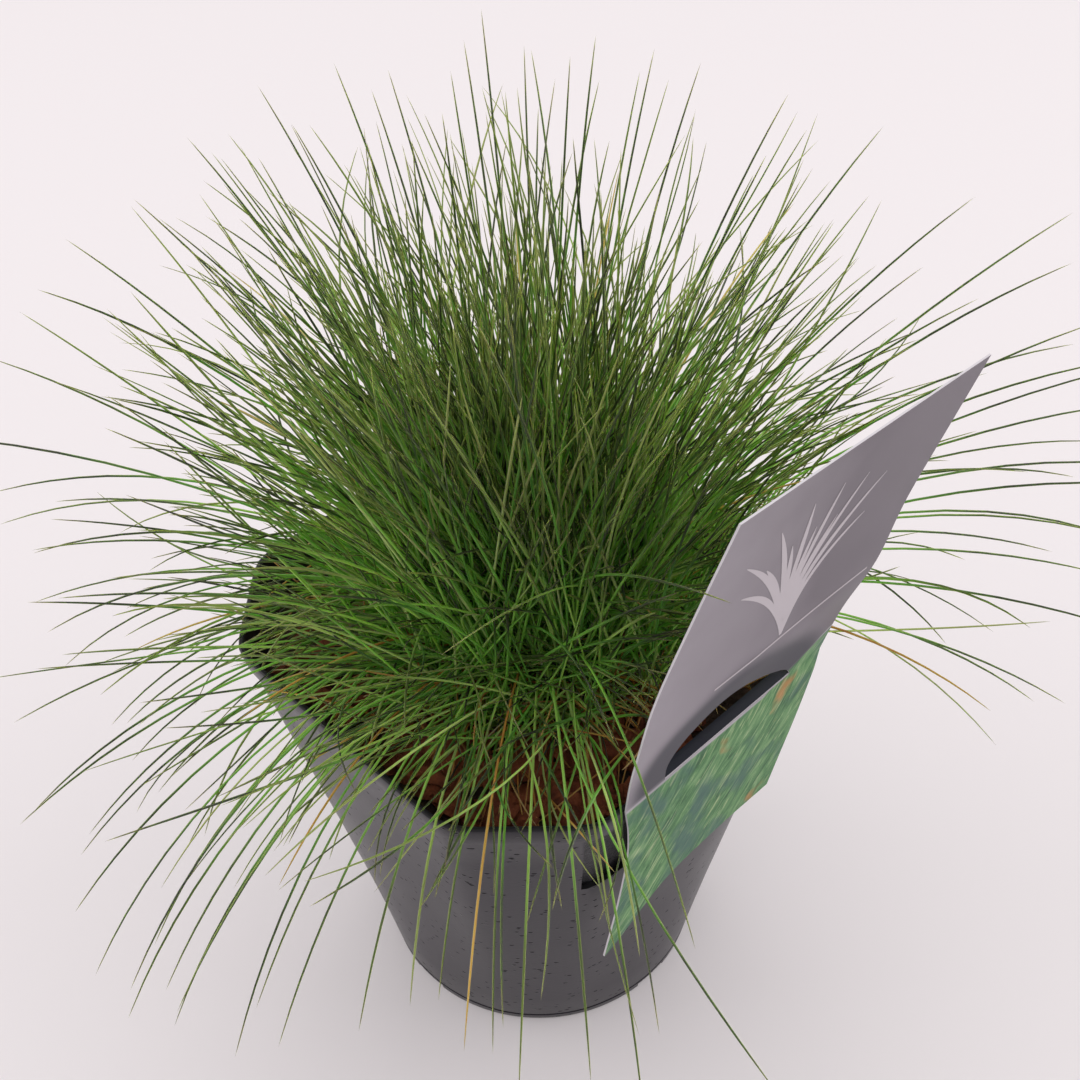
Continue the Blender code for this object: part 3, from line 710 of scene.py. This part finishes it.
def flatSheet(name, columns, rows, spotOf):
    bpy.ops.mesh.primitive_grid_add(x_subdivisions=columns, y_subdivisions=rows, size=2)
    sheet = named(name, cardFront, cardBack, cardEdge)
    for old in list(sheet.data.uv_layers):
        sheet.data.uv_layers.remove(old)
    cardMap(sheet, spotOf)
    return sheet


def windowBlock():
    # the window's outline, drawn through the card
    outline = [throughPoints(label["window"], i / 48) for i in range(49)]
    lean = math.radians(label["leanAbove"])
    bpy.ops.mesh.primitive_circle_add(vertices=len(outline), radius=mm, fill_type="NGON")
    rings = []
    for depth in (-14, 14):
        rings.append([rimOut * (foldOut + depth + up * math.sin(lean)) + rimAlong * along
                      + Vector((0, 0, foldHeight + up * math.cos(lean))) for along, up in outline])
    extrudeRings(rings)
    closeShape()
    return named("window_block")


def makeCard():
    card = flatSheet("label_card", 56, 96, lambda co: cardSheet(co.x, co.y))
    for vert in card.data.vertices:
        vert.co = cardPlace(*cardSheet(vert.co.x, vert.co.y)) * mm
    faceOut(card)
    thicken(card)
    cutWith(card, windowBlock())
    return card


def tongueSpot(co):
    # the flat tongue fills the window from the fold up, between its left and its right edge
    left, right = label["window"][:5], label["window"][:3:-1]
    depth = (co.y + 1) / 2 * (max(up for _, up in label["window"]) - 0.2)
    near = np.interp(depth, [up for _, up in left], [along for along, _ in left])
    far = np.interp(depth, [up for _, up in right], [along for along, _ in right])
    return near + (far - near) * (co.x + 1) / 2, depth


def makeTongue():
    # it runs level over the rim and then down inside the wall
    inner = pot["rimAcross"] / 2 - pot["collarStep"] - pot["wall"] - label["gap"] - label["thickness"] / 2
    bridge = foldOut - inner
    tongue = flatSheet("label_tongue", 20, 24, tongueSpot)
    lean = math.radians(label["tongueLean"])
    for vert in tongue.data.vertices:
        along, depth = tongueSpot(vert.co)
        down = max(depth - bridge, 0)
        out = foldOut - bridge * min(depth / bridge, 1) - down * math.sin(lean)
        vert.co = (rimOut * out + rimAlong * along + Vector((0, 0, foldHeight - down * math.cos(lean)))) * mm
    thicken(tongue)
    # all but its start lies in the shade of the window
    tongue.data.materials.append(cardShade)
    for face in tongue.data.polygons:
        if (face.center / mm).dot(rimOut) < foldOut - label["innerShade"]:
            face.material_index = 3
    return tongue


def makeLabel():
    card = makeCard()
    tongue = makeTongue()
    selectOnly(card)
    tongue.select_set(True)
    bpy.ops.object.join()
    selectOnly(card)
    bpy.ops.object.shade_smooth_by_angle(angle=math.radians(35))
    handOver(card, ["plant_label"])
    printMotif()
    print("label folded")


makeLabel()


# Tussock: thousands of thread-like leaves from one crown, and the strays that stand out of it

tussock = {
    "tillers": 760, "leavesPerTiller": (4, 6), "leafWidth": 0.75, "steps": 32, "spread": 31.0,
    "shares": (0.0, 0.2, 0.4, 0.6, 0.8, 1.0),        # from the upright middle to the drooping skirt
    "crowd": (0.0, 0.2, 0.48, 0.73, 0.91, 1.0),      # how much of the tussock stands before each share
    "slopes": (85, 72, 57, 45, 36, 37),
    "bends": (14, 24, 36, 54, 88, 128),
    "lengths": (130, 134, 133, 129, 123, 136),
    # azimuth from, azimuth to, part of the leaves that grows there: low ones all round, others at the back
    "skirtSectors": [(-180, -172, 0.78), (-172, -118, 1.0), (-118, -35, 0.36), (-35, 180, 0.46)],
    "backSectors": [(-20, 40, 0.5), (40, 80, 0.38), (80, 94, 0.54), (94, 118, 0.38), (118, 155, 0.95),
                    (155, 180, 0.52)],
    "crossing": (0.4, 1.25),                         # part that leans across, and how far in radians
    "outliers": 0.36,                                # tillers that stand on the front side of the crown
    "stiff": 0.4,
    "profile": [(0.0, 0.8), (0.07, 0.95), (0.15, 1.0), (0.23, 1.0), (0.31, 1.0), (0.39, 1.0), (0.47, 0.99),
                (0.55, 0.97), (0.62, 0.95), (0.69, 0.92), (0.76, 0.88), (0.82, 0.82), (0.88, 0.73),
                (0.93, 0.59), (0.98, 0.32), (1.0, 0.0)],     # half width along the leaf
    "cardClearance": 1.4, "rimClearance": 1.6,
    "meshes": [("leaves_upright", 0, 0.36), ("leaves_arching", 0.36, 0.66), ("leaves_skirt", 0.66, 1.01)],
}
# leaves that stand out: azimuth, slope, bend in degrees, length in mm, sideways drift in degrees, tone
strays = [
    (101, 79, 16, 141, 0, 0.1), (124, 74, 14, 131, 0, 0.15), (143, 69, 18, 127, 0, 0.2),
    (49, 73, 15, 133, 0, 0.12), (34, 68, 16, 133, 0, 0.08), (21, 62, 18, 137, 4, 0.3),
    (165, 56, 14, 133, 0, 0.1), (172, 50, 12, 138, 0, 0.3), (180, 41, 18, 124, 0, 0.2),
    (-173, 39, 32, 155, 0, 0.02), (-168, 34, 38, 120, 0, 0.35), (-159, 36, 70, 130, 0, 0.4),
    (-141, 37, 110, 140, 0, 0.3), (-132, 37, 124, 150, 0, 0.5), (-129, 34, 130, 138, 0, 0.4),
    (-118, 33, 140, 131, 0, 0.5), (-101, 35, 152, 116, 0, 0.6), (-85, 35, 148, 140, 0, 0.5),
    (-80, 35, 145, 148, 0, 0.45), (-76, 36, 143, 147, 0, 0.4), (-78, 51, 95, 150, 25, 0.3),
    (-88, 46, 114, 150, 53, 0.35), (5, 48, 14, 151, 0, 0.35), (0, 42, 20, 143, 0, 0.2),
    (-4, 40, 24, 151, 0, 0.1), (-11, 37, 38, 149, 0, 0.2), (-16, 37, 55, 145, 0, 0.3),
    (-18, 37, 70, 134, 0, 0.4), (-21, 39, 95, 108, 0, 0.5), (-8, 37, 60, 142, 0, 0.3),
    (-2, 38, 44, 138, 3, 0.4), (3, 37, 70, 130, -3, 0.2), (-13, 36, 88, 128, 0, 0.4),
    (78, 77, 12, 130, 0, 0.2), (62, 74, 18, 128, 4, 0.5), (112, 76, 10, 128, -3, 0.4),
    (152, 60, 12, 128, 0, 0.3), (-150, 38, 84, 138, 0, 0.35), (-137, 36, 118, 132, 6, 0.6),
    (-124, 35, 128, 140, -4, 0.55), (-96, 36, 150, 128, 5, 0.5), (-90, 37, 140, 134, -5, 0.7),
    (13, 54, 20, 138, 0, 0.25), (28, 66, 14, 128, 0, 0.4), (-146, 38, 116, 134, -6, 0.2),
    (-139, 36, 120, 148, 4, 0.3), (-134, 35, 132, 144, 6, 0.15), (-127, 36, 130, 146, -8, 0.35),
    (-1, 36, 30, 146, 0, 0.3), (-6, 38, 48, 150, 3, 0.2), (-9, 36, 52, 140, -3, 0.5),
    (2, 40, 36, 148, 4, 0.4), (-14, 38, 64, 142, 0, 0.2), (-17, 36, 80, 132, 3, 0.3),
    (-20, 38, 84, 124, 0, 0.45), (6, 44, 40, 140, 0, 0.3), (-12, 40, 30, 150, -2, 0.3),
    (8, 46, 26, 146, 0, 0.2), (-5, 38, 66, 138, 0, 0.35), (0, 37, 56, 134, 2, 0.25),
    (-156, 36, 92, 138, 0, 0.25), (-165, 34, 60, 120, 4, 0.2), (-176, 36, 44, 118, -3, 0.3),
    (-170, 38, 52, 122, 2, 0.15), (136, 72, 10, 136, 0, 0.3), (147, 68, 12, 138, 3, 0.15),
    (131, 74, 14, 128, -4, 0.2), (156, 62, 16, 136, 0, 0.3), (108, 82, 12, 136, 4, 0.2),
    (90, 82, 10, 134, 0, 0.15), (70, 80, 12, 136, -3, 0.3), (56, 76, 14, 134, 3, 0.2),
    (-178, 40, 80, 104, 5, 0.3), (-172, 44, 96, 108, -6, 0.5), (-167, 36, 88, 100, 7, 0.2),
    (-162, 42, 104, 112, -4, 0.4), (-158, 38, 96, 104, 8, 0.6), (-154, 46, 112, 114, -8, 0.3),
    (-149, 40, 110, 108, 6, 0.45), (-145, 36, 100, 102, -7, 0.25), (-142, 44, 124, 112, 9, 0.5),
    (-175, 34, 64, 98, -8, 0.15), (-165, 48, 110, 116, 10, 0.35), (-160, 35, 84, 106, -9, 0.55),
    (-122, 35, 134, 142, 8, 0.2), (-114, 36, 138, 136, -6, 0.4), (-152, 37, 96, 128, 5, 0.3),
    (-109, 35, 146, 128, 4, 0.55), (88, 48, 60, 140, 0, 0.3), (103, 45, 66, 138, 3, 0.4),
]
dry = {
    "scattered": 620, "ring": (10, 56), "length": (16, 60),
    # the ones that stand or hang out, in the strays' own columns
    "hanging": [
        (-97, 36, 150, 128, 0, 0.45), (-122, 35, 110, 104, 0, 0.4), (-170, 34, 70, 100, 4, 0.6),
        (-60, 62, 60, 60, 0, 0.7), (95, 72, 20, 96, 0, 0.8), (150, 55, 30, 108, 5, 0.9),
        (40, 58, 26, 112, -4, 0.8), (-92, 86, 6, 62, 0, 0.3), (-23, 40, 104, 108, 4, 0.5),
        (-17, 39, 90, 116, -3, 0.3), (170, 48, 34, 92, -4, 0.7), (-140, 44, 70, 84, 0, 0.35),
        (70, 66, 20, 104, 0, 0.6),
    ],
}
ringShares = [share for share, _ in tussock["profile"]]
paths = {
    "footCircle": 10, "footLift": 8,                 # mm, where a line starts until it is put on its foot
    "driftPower": 1.4, "fadePower": 1.4,
    "cardFront": 4, "cardBulge": (8, 2.2), "cardSide": 1.5, "cardSpan": (-62, 91),
    "rimBand": (4.5, 1.2), "soilGap": 3, "rootedSteps": 7,
    "rounds": 10, "steeper": 4.5, "straighter": 0.92, "shorter": 0.97, "trimmed": 0.96, "boxSlack": (2, 1),
}


def modelLeaf():
    # one straight leaf, a unit long and a unit in half width, extruded ring by ring to a point
    bpy.ops.mesh.primitive_circle_add(vertices=3, radius=1.0, fill_type="NGON")
    leaf = named("leaf_template")
    bpy.ops.object.mode_set(mode="EDIT")
    bpy.ops.transform.resize(value=(tussock["profile"][0][1],) * 2 + (1,))
    for (low, wide), (high, narrow) in zip(tussock["profile"], tussock["profile"][1:]):
        bpy.ops.mesh.extrude_region_move(TRANSFORM_OT_translate={"value": (0, 0, high - low)})
        if narrow:
            bpy.ops.transform.resize(value=(narrow / wide, narrow / wide, 1))
    bpy.ops.mesh.merge(type="CENTER")
    closeShape()
    return leaf


leafTemplate = modelLeaf()
leafCoords = np.array([v.co for v in leafTemplate.data.vertices], float)
leafFaces = [list(f.vertices) for f in leafTemplate.data.polygons]
leafRings = np.array([int(np.argmin(np.abs(np.array(ringShares) - z))) for z in leafCoords[:, 2]])
bpy.data.objects.remove(leafTemplate)


def leafLines(leaves):
    # each leaf leaves the crown at its slope and bends over, faster towards the tip, while it drifts sideways
    crownX, crownY = soil["crown"]
    steps = tussock["steps"]
    share = (np.arange(steps) + 0.5) / steps
    azimuth = leaves["azimuth"]
    angle = np.radians(leaves["slope"][:, None] - leaves["bend"][:, None] * share ** leaves["curl"][:, None])
    turn = azimuth[:, None] + leaves["drift"][:, None] * share ** paths["driftPower"]
    step = np.stack([np.cos(turn) * np.cos(angle), np.sin(turn) * np.cos(angle), np.sin(angle)], 2)
    step = step * (leaves["length"] / steps)[:, None, None]
    circle = paths["footCircle"]
    start = np.stack([crownX + circle * np.cos(azimuth), crownY + circle * np.sin(azimuth),
                      np.full(len(azimuth), soilLevel(crownX, crownY) + paths["footLift"])], 1)
    lines = np.concatenate([start[:, None], start[:, None] + np.cumsum(step, 1)], 1)
    # the foot stays where it grows: level, it is kept in part up to the tip
    fade = ((1 - np.arange(steps + 1) / steps) ** paths["fadePower"])[None, :, None]
    hold = leaves["hold"][:, None, None] * np.array([1, 1, 0])
    return lines + (leaves["base"] - start)[:, None] * (hold + (1 - hold) * fade)


def throughCard(lines):
    # points that lie in the card or just in front of it, above and below its fold
    out = lines @ np.array(rimOut)
    along = lines @ np.array(rimAlong)
    up = lines[:, :, 2] - foldHeight
    plane = foldOut + np.maximum(up, 0) * math.sin(math.radians(label["leanAbove"]))
    edges = []
    for above, below in (("leftUp", "leftDown"), ("rightUp", "rightDown")):
        rows = label[below][:0:-1] + label[above]
        edges.append(np.interp(up, [s for _, s in rows], [t for t, _ in rows]))
    bulgeFrom, bulge = paths["cardBulge"]
    bottom, top = paths["cardSpan"]
    behind = plane - tussock["cardClearance"] - bulge * (up > bulgeFrom)
    near = (out > behind) & (out < plane + paths["cardFront"])
    beside = (along > edges[0] - paths["cardSide"]) & (along < edges[1] + paths["cardSide"])
    return (near & beside & (up > bottom) & (up < top)).any(1)


def throughPot(lines):
    # leaves that would cut the rim or the soil
    radius = np.hypot(lines[:, :, 0], lines[:, :, 1])
    rim = rimRadius(np.arctan2(lines[:, :, 1], lines[:, :, 0]))
    height = lines[:, :, 2]
    within, beyond = paths["rimBand"]
    nearRim = (np.abs(radius - rim) < within) & (radius < rim + beyond)
    onRim = nearRim & (height < pot["height"] + tussock["rimClearance"])
    inSoil = (radius < rim) & (height < pot["height"] - soil["edgeDepth"] + paths["soilGap"])
    inSoil[:, :paths["rootedSteps"]] = False
    return onRim.any(1) | inSoil.any(1)


def settleLeaves(leaves):
    # a leaf in the way of the card or the rim stands steeper, one past the frame is shorter
    low, high = (np.array(corner) / mm for corner in cadBox)
    below, above = paths["boxSlack"]
    for attempt in range(paths["rounds"]):
        lines = leafLines(leaves)
        blocked = throughCard(lines)
        bad = blocked | throughPot(lines)
        leaves["slope"][bad] += paths["steeper"]
        leaves["bend"][bad] *= paths["straighter"]
        leaves["length"][blocked] *= paths["shorter"]
        past = ((lines < low - below) | (lines > high + above)).any((1, 2))
        leaves["length"][past] *= paths["trimmed"]
    leaves["lines"] = lines
    return {key: value[~bad & ~past] for key, value in leaves.items()}


def sweepLeaves(name, leaves, finish):
    # the template's rings are carried along every line and joined in one mesh
    lines, azimuth = leaves["lines"], leaves["azimuth"]
    count = len(lines)
    where = np.array(ringShares) * (lines.shape[1] - 1)
    low = np.minimum(where.astype(int), lines.shape[1] - 2)
    part = (where - low)[None, :, None]
    centres = lines[:, low] * (1 - part) + lines[:, low + 1] * part
    ahead = np.gradient(centres, axis=1)
    ahead /= np.linalg.norm(ahead, axis=2, keepdims=True)
    side = np.stack([-np.sin(azimuth), np.cos(azimuth), np.zeros(count)], 1)[:, None]
    side = side - ahead * np.sum(ahead * side, 2, keepdims=True)
    side /= np.linalg.norm(side, axis=2, keepdims=True)
    lift = np.cross(ahead, side)
    roll = leaves["roll"][:, None]
    half = (leaves["width"] / 2)[:, None]
    x = (leafCoords[None, :, 0] * np.cos(roll) - leafCoords[None, :, 1] * np.sin(roll)) * half
    y = (leafCoords[None, :, 0] * np.sin(roll) + leafCoords[None, :, 1] * np.cos(roll)) * half
    points = centres[:, leafRings] + side[:, leafRings] * x[..., None] + lift[:, leafRings] * y[..., None]
    size = len(leafCoords)
    loops = np.concatenate([np.array(f) for f in leafFaces])
    sides = np.array([len(f) for f in leafFaces])
    mesh = bpy.data.meshes.new(name)
    mesh.vertices.add(count * size)
    mesh.vertices.foreach_set("co", (points * mm).astype(np.float32).ravel())
    mesh.loops.add(count * len(loops))
    allLoops = (loops[None] + (np.arange(count) * size)[:, None]).ravel()
    mesh.loops.foreach_set("vertex_index", allLoops.astype(np.int32))
    mesh.polygons.add(count * len(sides))
    starts = np.concatenate([[0], np.cumsum(np.tile(sides, count))[:-1]])
    mesh.polygons.foreach_set("loop_start", starts.astype(np.int32))
    mesh.update(calc_edges=True)
    mesh.polygons.foreach_set("use_smooth", np.ones(count * len(sides), bool))
    layer = mesh.uv_layers.new(name="leafMap")
    pairs = np.stack([np.tile(leafCoords[loops, 2], count), np.repeat(leaves["tone"], len(loops))], 1)
    layer.data.foreach_set("uv", pairs.astype(np.float32).ravel())
    mesh.materials.append(finish)
    mesh.validate()
    item = bpy.data.objects.new(name, mesh)
    bpy.context.scene.collection.objects.link(item)
    handOver(item, ["leaf_tuft"])
    print(name, count, "leaves")


growth = {
    "turnStep": 2.399963,                            # the golden angle in radians, from tiller to tiller
    "turnNoise": 0.2, "footNoise": 1.0, "crownNoise": 2.5, "opposite": 0.16, "rootNoise": 0.7,
    "rootDepth": 3.0, "outlierReach": (14, 46), "outlierTurn": (-195, 0), "outlierLength": (0.45, 0.88),
    "outlierSlope": (22, 80),
    "upright": 0.6, "low": 0.62,                     # shares where the stiff middle ends and the skirt starts
    "shareNoise": 0.1, "slopeNoise": 10,
    "fan": (0.52, 0.25),                             # how far a tiller's leaves part, and more in front
    "shortest": (0.5, 0.58), "bendPart": (0.3, 1.15), "frontBend": 0.6, "crossingLength": 0.84,
    "leftLift": (9, 2.35),                           # degrees steeper, most at this azimuth in radians
    "stiffLift": 8, "stiffBend": 0.5,
    "steep": 44, "seenSlopes": (76, 20), "seenPart": 0.8,    # leaves towards the camera stand up or lie down
    "curl": (0.45, 1.1), "drift": 0.5, "hold": 0.8, "width": (0.68, 1.12), "tone": (1.1, 1.4),
}


def plantTillers(rng):
    # shoots from one crown, with a few on its far side and more out in front
    tillers = tussock["tillers"]
    order = (np.arange(tillers) + rng.uniform(0, 1, tillers)) / tillers
    share = np.interp(order, tussock["crowd"], tussock["shares"])
    turn = np.arange(tillers) * growth["turnStep"] + rng.normal(0, growth["turnNoise"], tillers)
    turn = turn % (2 * math.pi)
    reach = tussock["spread"] * np.sqrt(rng.uniform(0.02, 1, tillers))
    foot = turn + rng.normal(0, growth["footNoise"], tillers)
    foot = foot + rng.normal(0, growth["crownNoise"], tillers) * (1 - share) ** 2
    foot[rng.uniform(0, 1, tillers) < growth["opposite"]] += math.pi
    outlier = rng.uniform(0, 1, tillers) < tussock["outliers"]
    reach[outlier] = rng.uniform(*growth["outlierReach"], outlier.sum())
    foot[outlier] = np.radians(rng.uniform(*growth["outlierTurn"], outlier.sum()))
    return share, turn, reach, foot, outlier


def growTillers(rng):
    share, turn, reach, foot, outlier = plantTillers(rng)
    fewest, most = tussock["leavesPerTiller"]
    owner = np.repeat(np.arange(len(share)), rng.integers(fewest, most + 1, len(share)))
    share, turn, reach, foot, away = (values[owner] for values in (share, turn, reach, foot, outlier))
    count = len(owner)
    baseX = soil["crown"][0] + reach * np.cos(foot) + rng.normal(0, growth["rootNoise"], count)
    baseY = soil["crown"][1] + reach * np.sin(foot) + rng.normal(0, growth["rootNoise"], count)
    baseZ = np.full(count, soilLevel(*soil["crown"]) - growth["rootDepth"])
    share = np.clip(share + rng.normal(0, growth["shareNoise"], count), 0, 1)
    facing = np.maximum(np.cos(turn + math.pi / 2), 0)        # 1 towards the camera's side
    azimuth = turn + rng.normal(0, 1, count) * (growth["fan"][0] + growth["fan"][1] * facing)
    crossing = rng.uniform(0, 1, count) < tussock["crossing"][0]
    azimuth[crossing] += rng.normal(0, tussock["crossing"][1], crossing.sum())
    shortest = np.where(share < growth["low"], *growth["shortest"])
    longest = np.interp(share, tussock["shares"], tussock["lengths"])
    length = longest * (1.0 - shortest * rng.uniform(0, 1, count))
    length[away] *= rng.uniform(*growth["outlierLength"], away.sum())
    bend = np.interp(share, tussock["shares"], tussock["bends"]) * rng.uniform(*growth["bendPart"], count)
    upright = share < growth["upright"]
    bend[upright] *= (1 - growth["frontBend"] * facing)[upright]
    length[crossing] *= growth["crossingLength"]
    slope = np.interp(share, tussock["shares"], tussock["slopes"])
    slope = slope + rng.normal(0, growth["slopeNoise"], count)
    slope[away] = rng.uniform(*growth["outlierSlope"], away.sum())
    # on the left the leaves stand steeper
    lift, left = growth["leftLift"]
    slope += lift * np.maximum(np.cos(azimuth - left), 0) ** 4
    # some of the low leaves are stiff, and few point straight at the camera
    stiff = (share > growth["upright"]) & (rng.uniform(0, 1, count) < tussock["stiff"])
    slope[stiff] -= growth["stiffLift"]
    bend[stiff] *= growth["stiffBend"]
    towards = np.maximum(np.cos(azimuth + math.pi / 2), 0)
    steep = slope > growth["steep"]
    highest, lowest = growth["seenSlopes"]
    aside = np.where(steep, np.maximum(highest - slope, 0), np.minimum(lowest - slope, 0))
    slope += towards * aside * growth["seenPart"]
    bend[(towards > 0.3) & steep] *= growth["frontBend"]
    leaves = {"azimuth": azimuth, "share": share, "base": np.stack([baseX, baseY, baseZ], 1), "slope": slope,
              "bend": bend, "length": length, "hold": np.full(count, growth["hold"])}
    leaves["curl"] = rng.uniform(*growth["curl"], count)
    leaves["drift"] = rng.normal(0, growth["drift"], count)
    leaves["width"] = tussock["leafWidth"] * rng.uniform(*growth["width"], count)
    leaves["roll"] = rng.uniform(0, 2 * math.pi, count)
    leaves["tone"] = rng.beta(*growth["tone"], count)
    return thinSectors(leaves, rng.uniform(0, 1, count))


def thinSectors(leaves, chance):
    turned = (np.degrees(leaves["azimuth"]) + 180) % 360 - 180
    share = leaves["share"]
    skirt = share > growth["low"]
    behind = (share > 0.05) & ~skirt
    thin = np.zeros(len(share), bool)
    for group, sectors in ((skirt, tussock["skirtSectors"]), (behind, tussock["backSectors"])):
        for start, end, part in sectors:
            thin |= (turned >= start) & (turned < end) & group & (chance > part)
    return {key: value[~thin] for key, value in leaves.items()}


def growStrays(rng, rows):
    rows = np.array(rows, float)
    count = len(rows)
    azimuth = np.radians(rows[:, 0])
    heavy = rows[:, 2] > 60        # these bend at the rim, and hang straight from there
    base = np.stack([soil["crown"][0] + 14 * np.cos(azimuth), soil["crown"][1] + 14 * np.sin(azimuth),
                     np.full(count, soilLevel(*soil["crown"]) - growth["rootDepth"])], 1)
    return {"azimuth": azimuth, "share": np.zeros(count), "base": base, "slope": rows[:, 1],
            "bend": rows[:, 2] * np.where(heavy, 0.84, 1), "curl": np.where(heavy, 0.7, 1.5),
            "hold": np.zeros(count), "length": rows[:, 3], "drift": np.radians(rows[:, 4]),
            "width": np.full(count, tussock["leafWidth"]), "roll": rng.uniform(0, 2 * math.pi, count),
            "tone": rows[:, 5]}


def dryLine(rng, turn, reach):
    # one dead leaf's line over the soil, lifted until it clears it
    x = soil["crown"][0] + reach * math.cos(turn)
    y = soil["crown"][1] + reach * math.sin(turn)
    heading = turn + rng.normal(0, 1.1)
    length = rng.uniform(*dry["length"])
    rise = math.radians(rng.uniform(-4, 38))
    sag = math.radians(rng.uniform(5, 60))
    share = (np.arange(tussock["steps"]) + 0.5) / tussock["steps"]
    angle = rise - sag * share ** 1.2
    way = heading + rng.normal(0, 0.4) * share
    step = np.stack([np.cos(way) * np.cos(angle), np.sin(way) * np.cos(angle), np.sin(angle)], 1)
    step = step * length / tussock["steps"]
    start = [x, y, soilLevel(x, y) + rng.uniform(0.5, 5)]
    line = np.concatenate([[[0, 0, 0]], np.cumsum(step, 0)]) + start
    floor = np.array([soilTop(px, py) for px, py in line[:, :2]]) + 1.0
    return line + [0, 0, max((floor - line[:, 2]).max(), 0)]


def growDry(rng):
    # short dead leaves that lie over the soil and the foot of the tussock
    rows = dry["scattered"]
    turn = rng.uniform(0, 2 * math.pi, rows)
    reach = rng.uniform(*dry["ring"], rows)
    lines = np.array([dryLine(rng, turn[number], reach[number]) for number in range(rows)])
    radius = np.hypot(lines[:, :, 0], lines[:, :, 1])
    rim = rimRadius(np.arctan2(lines[:, :, 1], lines[:, :, 0]))
    kept = ((radius < rim - 4) | (lines[:, :, 2] > pot["height"] + 2)).all(1) & ~throughCard(lines)
    low, high = (np.array(corner) / mm for corner in cadBox)
    kept &= ((lines > low) & (lines < high)).all((1, 2))
    leaves = {"lines": lines, "azimuth": turn, "width": tussock["leafWidth"] * rng.uniform(0.6, 1.0, rows),
              "roll": rng.uniform(0, 2 * math.pi, rows), "tone": rng.beta(1.3, 1.8, rows)}
    return {key: value[kept] for key, value in leaves.items()}


def makeTussock():
    rng = np.random.default_rng(17)
    leaves = settleLeaves(growTillers(rng))
    for name, low, high in tussock["meshes"]:
        chosen = (leaves["share"] >= low) & (leaves["share"] < high)
        sweepLeaves(name, {key: value[chosen] for key, value in leaves.items()}, freshLeaf)
    sweepLeaves("leaves_long", settleLeaves(growStrays(rng, strays)), freshLeaf)
    sweepLeaves("leaves_dry_hanging", settleLeaves(growStrays(rng, dry["hanging"])), dryLeaf)
    sweepLeaves("leaves_dry", growDry(rng), dryLeaf)


makeTussock()


# Studio: pale floor, soft light and the photograph's camera

studio = {"floor": "D6D2D4", "floorGlow": "FFF8FA", "glow": 0.16, "room": "FBF6F6", "roomLight": (0.04, 0.86),
          "roomFade": (-0.7, -0.1), "lampsAimAt": (0, 0, 0.12),
          "lamps": [("lamp_left", (-1.6, 0.1, 0.7), 1.2, 6), ("lamp_right", (1.6, 0.1, 0.8), 1.2, 6),
                    ("lamp_above", (0.1, 0.9, 2.2), 1.8, 11)],
          "cameraPlace": (0.01309, -0.26589, 0.38965), "yaw": -0.0349, "pitch": 0.7345, "roll": -0.0386,
          "focalPixels": 1422.3, "framePixels": 1080, "sensor": 36.0}


def layFloor():
    # painted board, matt, so it only shows soft shadows
    glow = {"Emission Color": linearColour(studio["floorGlow"]), "Emission Strength": studio["glow"]}
    board = newMaterial("matt_white_table", studio["floor"], 0.7, glow)[0]
    bpy.ops.mesh.primitive_plane_add(size=14, location=(0, 0, -0.0005))
    floor = named("studio_floor", board)


def lightRoom():
    # the room is dimmer on the side where the camera stands
    world = bpy.data.worlds.new("soft_room")
    bpy.context.scene.world = world
    world.use_nodes = True
    tree = world.node_tree
    room = tree.nodes["Background"]
    room.inputs[0].default_value = linearColour(studio["room"])
    parts = addNode(tree, "SeparateXYZ", links={0: addNode(tree, "TexCoord").outputs["Generated"]})
    depth = addNode(tree, "Math", {"operation": "ADD"}, links={0: parts.outputs[1], 1: parts.outputs[2]})
    ends = dict(enumerate((*studio["roomFade"], *studio["roomLight"]), 1))
    strength = addNode(tree, "MapRange", values=ends, links={0: depth.outputs[0]})
    tree.links.new(strength.outputs[0], room.inputs[1])


def hangLamps():
    for name, place, size, energy in studio["lamps"]:
        lamp = bpy.data.lights.new(name, "AREA")
        lamp.size = size
        lamp.energy = energy
        light = bpy.data.objects.new(name, lamp)
        light.location = place
        aim = Vector(studio["lampsAimAt"]) - Vector(place)
        light.rotation_euler = aim.to_track_quat("-Z", "Y").to_euler()
        bpy.context.scene.collection.objects.link(light)


def placeCamera():
    yaw, pitch, roll = studio["yaw"], studio["pitch"], studio["roll"]
    ahead = Vector((math.sin(yaw) * math.cos(pitch), math.cos(yaw) * math.cos(pitch), -math.sin(pitch)))
    level = Vector((math.cos(yaw), -math.sin(yaw), 0))
    upward = level.cross(ahead)
    right = level * math.cos(roll) + upward * math.sin(roll)
    top = -level * math.sin(roll) + upward * math.cos(roll)
    lens = bpy.data.cameras.new("photo_camera")
    lens.sensor_width = studio["sensor"]
    lens.lens = studio["focalPixels"] / studio["framePixels"] * studio["sensor"]
    lens.clip_start = 0.01
    camera = bpy.data.objects.new("photo_camera", lens)
    bpy.context.scene.collection.objects.link(camera)
    pose = Matrix((right, top, -ahead)).transposed().to_4x4()
    pose.translation = Vector(studio["cameraPlace"])
    camera.matrix_world = pose
    bpy.context.scene.camera = camera


layFloor()
lightRoom()
hangLamps()
placeCamera()
bpy.context.scene.view_settings.view_transform = "Standard"
print("studio lit")
print("CAD box", [round(v, 4) for corner in cadBox for v in corner])
